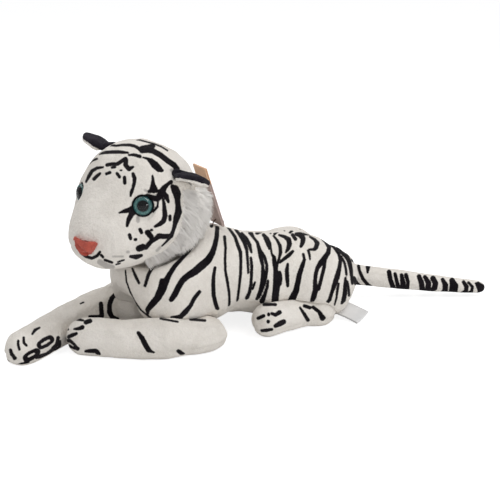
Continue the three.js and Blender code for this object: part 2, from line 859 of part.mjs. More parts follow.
const earSets = { left: leftEar, right: rightEar };

// The ear's place: its seam lies on the head at the spin angle, and the leaf leaves it
// square to the surface, less the tilt
function earPlace(side) {
  const { alongShare, riseAngle, spinAngle, tiltAngle } = earSets[side];
  const near = clearance / head.length;
  const angle = radians(riseAngle);
  const seat = headPoint(side, alongShare, angle);
  const back = headPoint(side, alongShare + near, angle).sub(seat).normalize();
  const up = headPoint(side, alongShare, angle + near).sub(seat);
  up.addScaledVector(back, -up.dot(back)).normalize();
  const spin = radians(spinAngle);
  const seam = back.multiplyScalar(Math.cos(spin)).addScaledVector(up, Math.sin(spin)).normalize();
  const leaf = seat.clone().setX(0).cross(seam).cross(seam).negate().normalize();
  const across = leaf.clone().cross(seam);
  const place = new THREE.Group();
  place.quaternion.setFromRotationMatrix(new THREE.Matrix4().makeBasis(seam, across, leaf));
  place.position.copy(seat);
  return place.rotateX(radians(outwards(side) * tiltAngle));
}

// The rolled seam, or the room that it turns in
function earBead(isRoom = false) {
  const half = ear.beadLength / 2 + (isRoom ? clearance : 0);
  const radius = isRoom ? hollow(ear.beadRadius, facets.small) : ear.beadRadius;
  return rod(radius, -half, half, facets.small).rotate([0, 90, 0]);
}

function earLeaf(side, innerRadius) {
  const half = (ear.width / 2) * outwards(side);
  const top = ear.height;
  const { foot, flare, flareRise, shoulder, shoulderRise, peak } = earOutlineShares;
  const rise = top * shoulderRise;
  const shape = new THREE.Shape();
  shape.moveTo(-half * foot, 0);
  shape.bezierCurveTo(-half * flare, top * flareRise, -half * shoulder, rise, -half * peak, top);
  shape.bezierCurveTo(half * shoulder, top, half * flare, top * flareRise, half * foot, 0);
  shape.closePath();
  const blank = new THREE.ExtrudeGeometry(shape, {
    depth: 2 * overrun,
    bevelEnabled: false,
    curveSegments: facets.curve,
  });
  blank.translate(0, 0, -overrun);
  blank.rotateX(Math.PI / 2);
  const cupMiddle = [0, outwards(side) * -ear.cupRadius, ear.height * earCupShare];
  const cup = ball(innerRadius + ear.leafThickness, facets.body).subtract(ball(innerRadius, facets.body));
  const nearWall = block([-overrun, -ear.cupRadius / 2, -overrun], [overrun, overrun, overrun]);
  const wall = side === "left" ? nearWall.rotate([0, 0, 180]) : nearWall;
  return closedSolid(blank).intersect(cup.translate(cupMiddle)).intersect(wall);
}

// Head panels over one core

function neckSocket() {
  const turn = halfFacet(facets.neckBall) - head.turnAngle;
  const room = ball(hollow(neck.ballRadius, facets.neckBall, true), facets.neckBall).rotate([0, 0, turn]);
  const stem = rod(neck.stemRadius + neck.nodRelief, -overrun, 0);
  return room.add(stem.rotate([-head.tiltAngle, 0, 0]));
}

function addHead() {
  let skin = headForm(0).subtract(headForm(fabric.thickness)).subtract(neckSocket());
  let core = headForm(fabric.thickness + fabric.stuffingGap).subtract(neckSocket());
  for (const side of bothSides) {
    const groove = placed(earBead(true), earPlace(side));
    const place = eyePlace(side);
    const cup = placed(eyeBits.cup, place).intersect(headForm(0));
    skin = skin.subtract(placed(eyeBits.seat, place)).add(cup).subtract(groove);
    core = core.subtract(placed(eyeBits.room, place)).subtract(groove);
  }
  const crown = (grow) =>
    block(
      [-overrun, -head.crownHalfWidth - grow, -head.jawSeamDrop - grow],
      [overrun, head.crownHalfWidth + grow, overrun],
    );
  const jaw = (grow) =>
    block([-overrun, -overrun, -overrun], [-head.jawPanelBack + grow, overrun, -head.jawSeamDrop + grow]);
  const halfSeam = fabric.seamGap / 2;
  const cheeks = skin.subtract(crown(halfSeam)).subtract(jaw(halfSeam));
  addPiece("crown_panel", skin.intersect(crown(-halfSeam)), "whitePlush", headGroup);
  addPiece("jaw_panel", skin.intersect(jaw(-halfSeam)), "whitePlush", headGroup);
  for (const side of bothSides) {
    addPiece(`cheek_panel_${side}`, onSide(cheeks, side, halfSeam), "whitePlush", headGroup);
  }
  addPiece("head_stuffing", core, "stuffing", headGroup);
}
addHead();

function addEyes() {
  for (const side of bothSides) {
    const group = eyePlace(side);
    headGroup.add(group);
    addPiece(`eye_lens_${side}`, eyeBits.lens, "clearPlastic", group);
    addPiece(`eye_back_${side}`, eyeBits.back, "irisTeal", group);
    addPiece(`eye_washer_${side}`, eyeBits.washer, "whitePlastic", group);
  }
}
addEyes();

function addEars() {
  for (const side of bothSides) {
    const group = earPlace(side);
    headGroup.add(group);
    group.updateWorldMatrix(true, false);
    const toHead = group.matrixWorld.clone().invert().multiply(headGroup.matrixWorld);
    const headHere = headRoom.transform(toHead.elements);
    const swings = [-1, -0.5, 0, 0.5, 1].map((step) => headHere.rotate([step * ear.swingAngle, 0, 0]));
    const swept = wasm.Manifold.union(swings);
    const front = earLeaf(side, ear.cupRadius - ear.leafThickness - clearance).subtract(swept);
    const back = earLeaf(side, ear.cupRadius).subtract(swept).add(earBead());
    addPiece(`ear_front_${side}`, front.subtract(earBead(true)), "whitePlush", group);
    addPiece(`ear_back_${side}`, back, "blackPlush", group);
  }
}
addEars();

// Nose: a rounded triangular pad that follows the muzzle
function addNose() {
  const half = nose.width / 2 - nose.bevel;
  const high = nose.height / 2 - nose.bevel;
  const { topCorner, topBow, topDip, sideBow, sideDrop, footHalf, footBow } = noseOutlineShares;
  const shape = new THREE.Shape();
  shape.moveTo(-half, high * topCorner);
  shape.quadraticCurveTo(-half / 2, high * topBow, 0, high * topDip);
  shape.quadraticCurveTo(half / 2, high * topBow, half, high * topCorner);
  shape.quadraticCurveTo(half * sideBow, -high * sideDrop, half * footHalf, -high);
  shape.quadraticCurveTo(0, -high * footBow, -half * footHalf, -high);
  shape.quadraticCurveTo(-half * sideBow, -high * sideDrop, -half, high * topCorner);
  const pad = new THREE.ExtrudeGeometry(shape, {
    depth: nose.depth,
    curveSegments: facets.curve,
    bevelSize: nose.bevel,
    bevelThickness: nose.bevel,
    bevelSegments: facets.bevel,
  });
  pad.rotateX(Math.PI / 2);
  pad.rotateZ(-Math.PI / 2);
  const place = standingGroup(new THREE.Group(), [-nose.ahead, 0, -nose.drop], [0, nose.leanAngle, 0]);
  addPiece("nose", placed(closedSolid(pad), place).subtract(headRoom), "nosePink", headGroup);
}
addNose();

// Ruff: a strip of long pile along each cheek
function addRuffs() {
  for (const side of bothSides) {
    const unit = head.halfWidth;
    const points = ruffPathShares.map(
      ([back, aside, up]) => new THREE.Vector3(back * unit, outwards(side) * aside * unit, up * unit),
    );
    const path = new THREE.CatmullRomCurve3(points);
    const length = path.getLength();
    const { endRound } = ruff;
    const stations = stationsAlong(length, endRound, endRound, facets.limbSteps, facets.limbCap);
    const rings = stations.map((along) => {
      const centre = path.getPointAt(along / length);
      const away = centre.clone().normalize();
      const across = path.getTangentAt(along / length).cross(away).normalize();
      const grown = roundEnd(along, length, endRound, endRound);
      const [breadth, thickness] = [ruff.halfBreadth * grown, ruff.halfThickness * grown];
      return ovalRing(centre, across, away, breadth, thickness, facets.small, 2);
    });
    const strip = skinOver(rings, path.getPointAt(0), path.getPointAt(1));
    addPiece(`ruff_${side}`, strip.subtract(headRoom), "longPile", headGroup);
  }
}
addRuffs();

addPiece("care_label", labelRibbon(), "satin", labelGroup);
addPiece("tag_loop", tagRing(tagLoop.wireRadius), "brownNylon");
addPiece("hang_tag", tagCard(), "card", tagGroup);

// The origin goes to the centre of the footprint, on the floor

const bounds = new THREE.Box3().setFromObject(tiger);
const centre = bounds.getCenter(new THREE.Vector3());
tiger.position.set(-centre.x, -centre.y, -bounds.min.z);

export default tiger;
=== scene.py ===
import json
import math

import bmesh
import bpy
import numpy as np
from mathutils import Matrix, Vector, noise
from mathutils.bvhtree import BVHTree


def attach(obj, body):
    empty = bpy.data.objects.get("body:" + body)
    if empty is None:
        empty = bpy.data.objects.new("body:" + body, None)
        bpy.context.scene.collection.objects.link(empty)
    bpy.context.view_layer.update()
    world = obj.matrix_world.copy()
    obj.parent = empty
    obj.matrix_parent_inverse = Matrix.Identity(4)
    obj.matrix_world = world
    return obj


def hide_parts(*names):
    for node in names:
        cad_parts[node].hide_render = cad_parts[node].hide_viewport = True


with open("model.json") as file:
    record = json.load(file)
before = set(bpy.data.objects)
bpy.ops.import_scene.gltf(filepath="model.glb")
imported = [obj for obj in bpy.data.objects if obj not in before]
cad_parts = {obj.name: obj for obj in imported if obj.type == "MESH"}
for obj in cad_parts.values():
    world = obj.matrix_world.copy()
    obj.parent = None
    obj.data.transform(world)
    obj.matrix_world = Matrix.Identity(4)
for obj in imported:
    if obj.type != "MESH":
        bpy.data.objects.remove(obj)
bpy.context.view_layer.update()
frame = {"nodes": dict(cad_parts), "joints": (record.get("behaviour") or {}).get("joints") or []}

millimetre = 0.001
nodes = frame["nodes"]
joints = {joint["name"]: joint for joint in frame["joints"]}
scene = bpy.context.scene
print("frame loaded")

# camera, floor and light

view = {
    "place": (-0.59597, -1.04954, 0.44085),
    "target": (-0.02219, -0.05572, 0.09),
    "lens": 86.4, "sensor": 36.0, "pixels": 500,
    "nearest": 0.05, "farthest": 20,
}
lamps = {
    # name: place, size, power and whether shiny surfaces mirror it
    "keyLight": ((0.65, -0.75, 1.55), 1.1, 13.5, True),
    "fillLight": ((-0.9, -1.1, 0.35), 1.2, 3.3, False),
    "backLight": ((-0.45, 0.8, 1.5), 1.2, 10, True),
    "windowLight": ((0.02, -1.1, 0.27), 0.3, 0.9, True),
}
lampTarget = (0, 0, 0.08)
worldLight = {"colour": (0.97, 0.98, 1, 1), "strength": 0.4}
floorLook = {
    "size": 6, "colour": (0.9, 0.9, 0.9, 1), "roughness": 0.9, "mirroring": 0.1,
    "glow": 1.62, "glowShare": 0.5,
}


def link(name, data):
    made = bpy.data.objects.new(name, data)
    scene.collection.objects.link(made)
    return made


def aimed(name, data, place, target):
    # a camera or lamp that looks from its place to a target
    made = link(name, data)
    made.location = place
    made.rotation_euler = (Vector(target) - Vector(place)).to_track_quat("-Z", "Y").to_euler()
    return made


def makeCamera():
    data = bpy.data.cameras.new("photoCamera")
    data.lens = view["lens"]
    data.sensor_width = view["sensor"]
    data.clip_start = view["nearest"]
    data.clip_end = view["farthest"]
    made = aimed("photoCamera", data, view["place"], view["target"])
    scene.camera = made
    bpy.context.view_layer.update()
    return made


camera = makeCamera()
toCamera = camera.matrix_world.inverted()


def toPixels(points):
    # where points in metres fall in the photograph, in pixels from its top left corner
    turned = points @ np.array(toCamera.to_3x3()).T + np.array(toCamera.translation)
    reach = view["lens"] / view["sensor"] * view["pixels"]
    half = view["pixels"] / 2
    x = half + reach * turned[:, 0] / -turned[:, 2]
    y = half - reach * turned[:, 1] / -turned[:, 2]
    return np.stack([x, y], axis=1)


def facing(points, normals):
    # 1 where the surface faces the photograph's camera, -1 where it faces away
    away = np.array(view["place"]) - points
    away /= np.linalg.norm(away, axis=1)[:, None]
    return (away * normals).sum(axis=1)


def fromBmesh(name, bm):
    mesh = bpy.data.meshes.new(name)
    bm.to_mesh(mesh)
    bm.free()
    mesh.shade_smooth()
    return link(name, mesh)


# material helpers


def material(name):
    made = bpy.data.materials.new(name)
    made.use_nodes = True
    tree = made.node_tree
    tree.nodes.clear()
    out = tree.nodes.new("ShaderNodeOutputMaterial")
    shader = tree.nodes.new("ShaderNodeBsdfPrincipled")
    tree.links.new(shader.outputs["BSDF"], out.inputs["Surface"])
    return made, tree, shader


def dress(made, look):
    made.data.materials.clear()
    made.data.materials.append(look)


def surfaceOf(tree):
    out = next(each for each in tree.nodes if each.bl_idname == "ShaderNodeOutputMaterial")
    return out.inputs["Surface"]


def setInputs(tree, made, inputs):
    # sockets are linked, and other values are constants
    for key, value in dict(inputs).items():
        if isinstance(value, bpy.types.NodeSocket):
            tree.links.new(value, made.inputs[key])
        else:
            made.inputs[key].default_value = value


def addNode(tree, kind, inputs=(), **settings):
    made = tree.nodes.new("ShaderNode" + kind)
    for key, value in settings.items():
        setattr(made, key, value)
    setInputs(tree, made, inputs)
    return made


def mathOf(tree, operation, first, second=0.0):
    return addNode(tree, "Math", {0: first, 1: second}, operation=operation).outputs[0]


def mixOf(tree, share, first, second):
    # sockets 0, 6 and 7 of a colour mix are its factor and its two colours
    made = addNode(tree, "Mix", {0: share, 6: first, 7: second}, data_type="RGBA", blend_type="MIX")
    return made.outputs[2]


def shaderMixOf(tree, share, first, second):
    return addNode(tree, "MixShader", {0: share, 1: first, 2: second}).outputs[0]


def rayOf(tree, kind):
    # 1 for light rays of one kind, such as those that the camera sees
    return addNode(tree, "LightPath").outputs[f"Is {kind} Ray"]


def rangeOf(tree, value, low, high, toLow=0.0, toHigh=1.0):
    made = addNode(
        tree, "MapRange",
        {"Value": value, "From Min": low, "From Max": high, "To Min": toLow, "To Max": toHigh},
        interpolation_type="SMOOTHSTEP",
    )
    return made.outputs["Result"]


def attributeOf(tree, name):
    return addNode(tree, "Attribute", attribute_name=name).outputs["Fac"]


def placeOf(tree):
    return addNode(tree, "TexCoord").outputs["Object"]


def noiseOf(tree, scale, detail, **others):
    inputs = {"Vector": placeOf(tree), "Scale": scale, "Detail": detail, **others}
    return addNode(tree, "TexNoise", inputs).outputs["Fac"]


def bumpOf(tree, height, strength, distance):
    made = addNode(tree, "Bump", {"Height": height, "Strength": strength, "Distance": distance})
    return made.outputs["Normal"]


def newGroup(name, inputs, outputs):
    group = bpy.data.node_groups.new(name, "ShaderNodeTree")
    for label, value in inputs:
        socket = group.interface.new_socket(label, in_out="INPUT", socket_type="NodeSocketFloat")
        socket.default_value = value
    for label in outputs:
        group.interface.new_socket(label, in_out="OUTPUT", socket_type="NodeSocketFloat")
    return group, group.nodes.new("NodeGroupInput"), group.nodes.new("NodeGroupOutput")


pileFacts = {
    "fineness": 620.0, "brushing": 46.0, "tufts": 0.42, "valleys": -0.7, "slow": 0.55, "quick": 0.45,
}


def makePileGroup(facts):
    # short upright pile: fine hair ends in small tufts; its Shade output is painted shade, darker in the
    # hair's low spots and with slow changes where a hand brushed it
    sizes = [("Fineness", facts["fineness"]), ("Brushing", facts["brushing"])]
    group, given, out = newGroup("plushPile", sizes, ["Height", "Shade"])
    fineness = given.outputs["Fineness"]
    hair = noiseOf(group, fineness, detail=3.0, Roughness=0.65)
    tuftSize = mathOf(group, "MULTIPLY", fineness, facts["tufts"])
    tufts = addNode(group, "TexVoronoi", {"Vector": placeOf(group), "Scale": tuftSize}, feature="SMOOTH_F1")
    brush = noiseOf(group, given.outputs["Brushing"], detail=2.0, Distortion=0.6)
    valleys = mathOf(group, "MULTIPLY", tufts.outputs["Distance"], facts["valleys"])
    slow = mathOf(group, "MULTIPLY", brush, facts["slow"])
    quick = mathOf(group, "MULTIPLY", hair, facts["quick"])
    height = mathOf(group, "ADD", hair, valleys)
    setInputs(group, out, {"Height": height, "Shade": mathOf(group, "ADD", slow, quick)})
    return group


printEdge = {"fineness": 900.0, "middle": 0.5, "wobble": 1.1}


def makeInkGroup(facts):
    # the printed pattern, with its painted shadows and highlights, from its signed distance in pixels, with
    # an edge broken by the pile
    group, given, out = newGroup("printedPatternAndPaintedLight", [("Distance", 0.0), ("Softness", 0.55)], ["Ink"])
    softness = given.outputs["Softness"]
    hairs = noiseOf(group, facts["fineness"], detail=2.0)
    uneven = mathOf(group, "SUBTRACT", hairs, facts["middle"])
    wobble = mathOf(group, "MULTIPLY", uneven, facts["wobble"])
    moved = mathOf(group, "ADD", given.outputs["Distance"], wobble)
    low = mathOf(group, "MULTIPLY", softness, -1.0)
    setInputs(group, out, {"Ink": rangeOf(group, moved, low, softness)})
    return group


pileGroup = makePileGroup(pileFacts)
inkGroup = makeInkGroup(printEdge)


def placed(tree, group, **values):
    return addNode(tree, "Group", values, node_tree=group)


def pileShade(tree, pile):
    return rangeOf(tree, pile.outputs["Shade"], 0.3, 0.7)


plushLook = {
    "white": (0.86, 0.815, 0.755, 1),
    "shadedWhite": (0.74, 0.695, 0.635, 1),
    "ink": (0.0025, 0.002, 0.003, 1),
    "litInk": (0.013, 0.010, 0.013, 1),
    "grey": (0.22, 0.205, 0.20, 1),
    "bump": 0.9,
}
plushSurface = {"Roughness": 0.92, "Specular IOR Level": 0.08, "Sheen Weight": 0.05, "Sheen Roughness": 0.45}
printSoftness = {"greyPrintAndShade": 1.0, "blackPrintAndPaintedLight": 0.45}
greyShare = 0.6
pileDepth = 0.0012


def plushMaterial(name, look, fineness=pileFacts["fineness"], printed=True):
    made, tree, shader = material(name)
    pile = placed(tree, pileGroup, Fineness=fineness)
    shade = pileShade(tree, pile)
    # painted shade: the white and the ink each have a lit and a shaded copy, mixed by the pile's painted
    # shade
    colour = mixOf(tree, shade, look["shadedWhite"], look["white"])
    if printed:
        grey, black = [
            placed(tree, inkGroup, Distance=attributeOf(tree, field), Softness=softness).outputs["Ink"]
            for field, softness in printSoftness.items()
        ]
        colour = mixOf(tree, mathOf(tree, "MULTIPLY", grey, greyShare), colour, look["grey"])
        # painted shade: the ink's lit copy shows where the pile's painted shade is light
        colour = mixOf(tree, black, colour, mixOf(tree, shade, look["ink"], look["litInk"]))
    normal = bumpOf(tree, pile.outputs["Height"], look["bump"], pileDepth)
    setInputs(tree, shader, {"Base Color": colour, "Normal": normal, **plushSurface})
    return made


def makeFloor(facts):
    bm = bmesh.new()
    bmesh.ops.create_grid(bm, x_segments=1, y_segments=1, size=facts["size"])
    floor = fromBmesh("floor", bm)
    made, tree, shader = material("pale_floor")
    setInputs(tree, shader, {
        "Base Color": facts["colour"], "Roughness": facts["roughness"],
        "Specular IOR Level": facts["mirroring"],
    })
    glow = addNode(tree, "Emission", {"Strength": facts["glow"]}).outputs[0]
    seen = shaderMixOf(tree, facts["glowShare"], shader.outputs[0], glow)
    tree.links.new(shaderMixOf(tree, rayOf(tree, "Camera"), shader.outputs[0], seen), surfaceOf(tree))
    dress(floor, made)


def makeLights():
    world = bpy.data.worlds.new("studio")
    scene.world = world
    world.use_nodes = True
    tree = world.node_tree
    tree.nodes.clear()
    seen, light = [
        addNode(tree, "Background", {"Color": colour, "Strength": strength}).outputs[0]
        for colour, strength in (((1, 1, 1, 1), 1.0), (worldLight["colour"], worldLight["strength"]))
    ]
    addNode(tree, "OutputWorld", {"Surface": shaderMixOf(tree, rayOf(tree, "Camera"), light, seen)})
    for name, (place, size, power, mirrored) in lamps.items():
        data = bpy.data.lights.new(name, "AREA")
        data.size = size
        data.energy = power
        lamp = aimed(name, data, place, lampTarget)
        lamp.visible_glossy = mirrored


makeFloor(floorLook)
makeLights()
scene.view_settings.view_transform = "Standard"
print("camera, floor and lights made")

# The printed pattern, with a few painted shadows and painted highlights among its strokes. Each stroke is a
# run of (x, y, width) in pixels of the photograph.

headStrokes = {
    "crown": [
        [(134, 139.2, 1), (140, 140, 1), (147, 142, 1), (154, 143.8, 1), (161, 146.5, 1), (167.5, 150.5, 1)],
        [(95, 151, 2), (99, 147.5, 3), (105, 145.2, 2.5), (111, 145, 2), (116, 145.8, 1.5), (122, 145, 2),
         (130, 145, 2.5), (135, 146.2, 2.5), (139, 148.5, 3), (142, 150.5, 5), (148, 149.5, 6), (153, 151, 5),
         (161, 155.5, 5), (168, 161, 5), (174, 165, 5), (177, 169, 5)],
        [(142, 148, 4), (153, 146, 4)],
        [(99, 154.2, 1), (105, 152.5, 2.5), (112, 152, 3), (120, 152, 3), (128, 152.8, 1.5)],
        [(129, 155, 1.5), (134, 154.8, 2.5), (140, 156.5, 3)],
        [(84, 169, 2), (88, 164, 2), (92, 160.5, 2), (97, 158.8, 1.5)],
        [(86, 182, 1.5), (89, 176, 3), (92, 171, 3), (97, 168, 2.5), (103, 167.2, 1.5)],
        [(94, 179, 3), (97, 176, 3), (100, 173.5, 2)],
        [(107, 165, 3), (112, 164, 3), (117, 164.2, 3), (122, 161, 3.5), (125.5, 159, 4), (126, 160, 4),
         (125.5, 165, 4), (129, 169, 4), (133, 167, 2)],
        [(143, 157.5, 1), (147, 158.5, 2), (151, 161, 5), (155, 165, 7), (159, 169, 6), (162, 170.5, 3)],
    ],
    "browDots": [
        [(106.5, 173.8, 2.5), (110, 172.5, 2.5)],
        [(112, 167.5, 2), (115, 167, 2)],
        [(120.5, 170.3, 1.2), (121.5, 170.3, 1.2)],
        [(117, 173.5, 2.5), (119.5, 177, 2.5)],
        [(124.5, 177.5, 3), (124.8, 183, 3)],
        [(133, 174, 3), (134.5, 178, 3.5), (134.5, 182, 3), (133, 188, 2.5), (131.5, 192, 3),
         (130.5, 196, 1.5)],
        [(152.5, 176, 1.5), (153, 180, 2.5), (153, 184, 4), (153.5, 189, 8)],
        [(149, 191.5, 2.5), (160, 191, 2.5)],
    ],
    "eyeLining": [
        [(136, 209, 7), (131, 209.5, 5), (126, 210.8, 4), (119, 212.8, 1)],
        [(135, 212, 5), (131, 215, 5), (128.5, 220, 4), (127, 226, 2)],
        [(147, 195.5, 3), (153, 198, 5), (157.5, 199, 5)],
        [(158, 202, 1.5), (157.5, 207, 1.5), (153, 212, 2)],
    ],
    "cheek": [
        [(159, 197, 6), (162, 192, 7), (164, 188, 5), (168, 184, 3), (171, 182, 3.5)],
        [(162, 192, 5), (166, 196, 5), (168.5, 202, 2)],
        [(163, 199, 2), (164, 204, 3), (164.5, 210, 4), (165, 216, 4.5), (163.5, 221, 4.5), (160, 224, 4),
         (155, 226.5, 2)],
        [(170, 216, 2.5), (170, 220, 2.5)],
        [(172.5, 186.5, 4), (175, 189, 7.5), (177, 194, 7.5), (177.5, 200, 5), (178, 206, 5),
         (178.5, 212, 6.5), (176.5, 218, 6), (175, 224, 4), (173.5, 230, 3), (171, 236, 4),
         (164, 236.5, 4.5), (159, 236, 5), (156, 238.5, 4), (151, 241.5, 4), (148, 245, 4),
         (146.5, 248.5, 2)],
        [(169, 238.5, 2.5), (166, 242, 1.5), (162, 246, 1)],
        [(140, 229.5, 3), (141.5, 232.5, 3)],
        [(147.5, 232.5, 5), (151, 236.5, 5)],
        [(151, 230, 2), (152, 230, 2)],
        [(129.5, 235, 3), (130.5, 238.5, 3)],
        [(135, 239.5, 2.5), (136, 239.5, 2.5)],
        [(139, 248.5, 6), (143, 247, 6)],
        [(130.5, 256.5, 2.5), (136, 257, 4.5), (141.5, 255.5, 2.5)],
    ],
    "mouth": [
        # the first stroke runs just under the nose: a printed mouth line and the nose's painted shadow
        [(81, 253, 2), (86, 256.5, 2.5), (92, 258.2, 2.5), (97, 256, 2.5), (100, 252, 2)],
        [(101, 255, 2), (103, 257, 2)],
        [(105, 260, 2), (112, 262.5, 2)],
        [(118, 262, 1.2), (124, 260, 1.2)],
        [(116, 264.5, 1), (120, 263.5, 1)],
    ],
}

# grey marks: grey print, and painted shade under the chin
headGreys = [
    [(171.5, 170, 2.5), (176, 174, 3), (175, 179, 2)],
    [(160, 247.5, 2), (157, 250.5, 2)],
    [(138, 218.5, 3), (138, 221, 3)],
    [(127.5, 252, 2), (128.5, 252, 2)],
    [(113, 256.5, 1), (123, 256.5, 1)],
    # painted shade under the chin
    [(100, 262, 5), (106, 265.5, 5), (113, 267, 3)],
    [(145, 190, 1.5), (152, 196, 1.5), (160, 194, 1.5)],
]

# these run from the rump on to the tail
tailRootStrokes = [
    [(354, 278, 3), (356, 283, 4), (359, 285.5, 3)],
    [(358.5, 266, 2.5), (359.5, 271, 2.5), (363, 279, 3), (368, 285, 3), (374, 288.5, 2)],
]

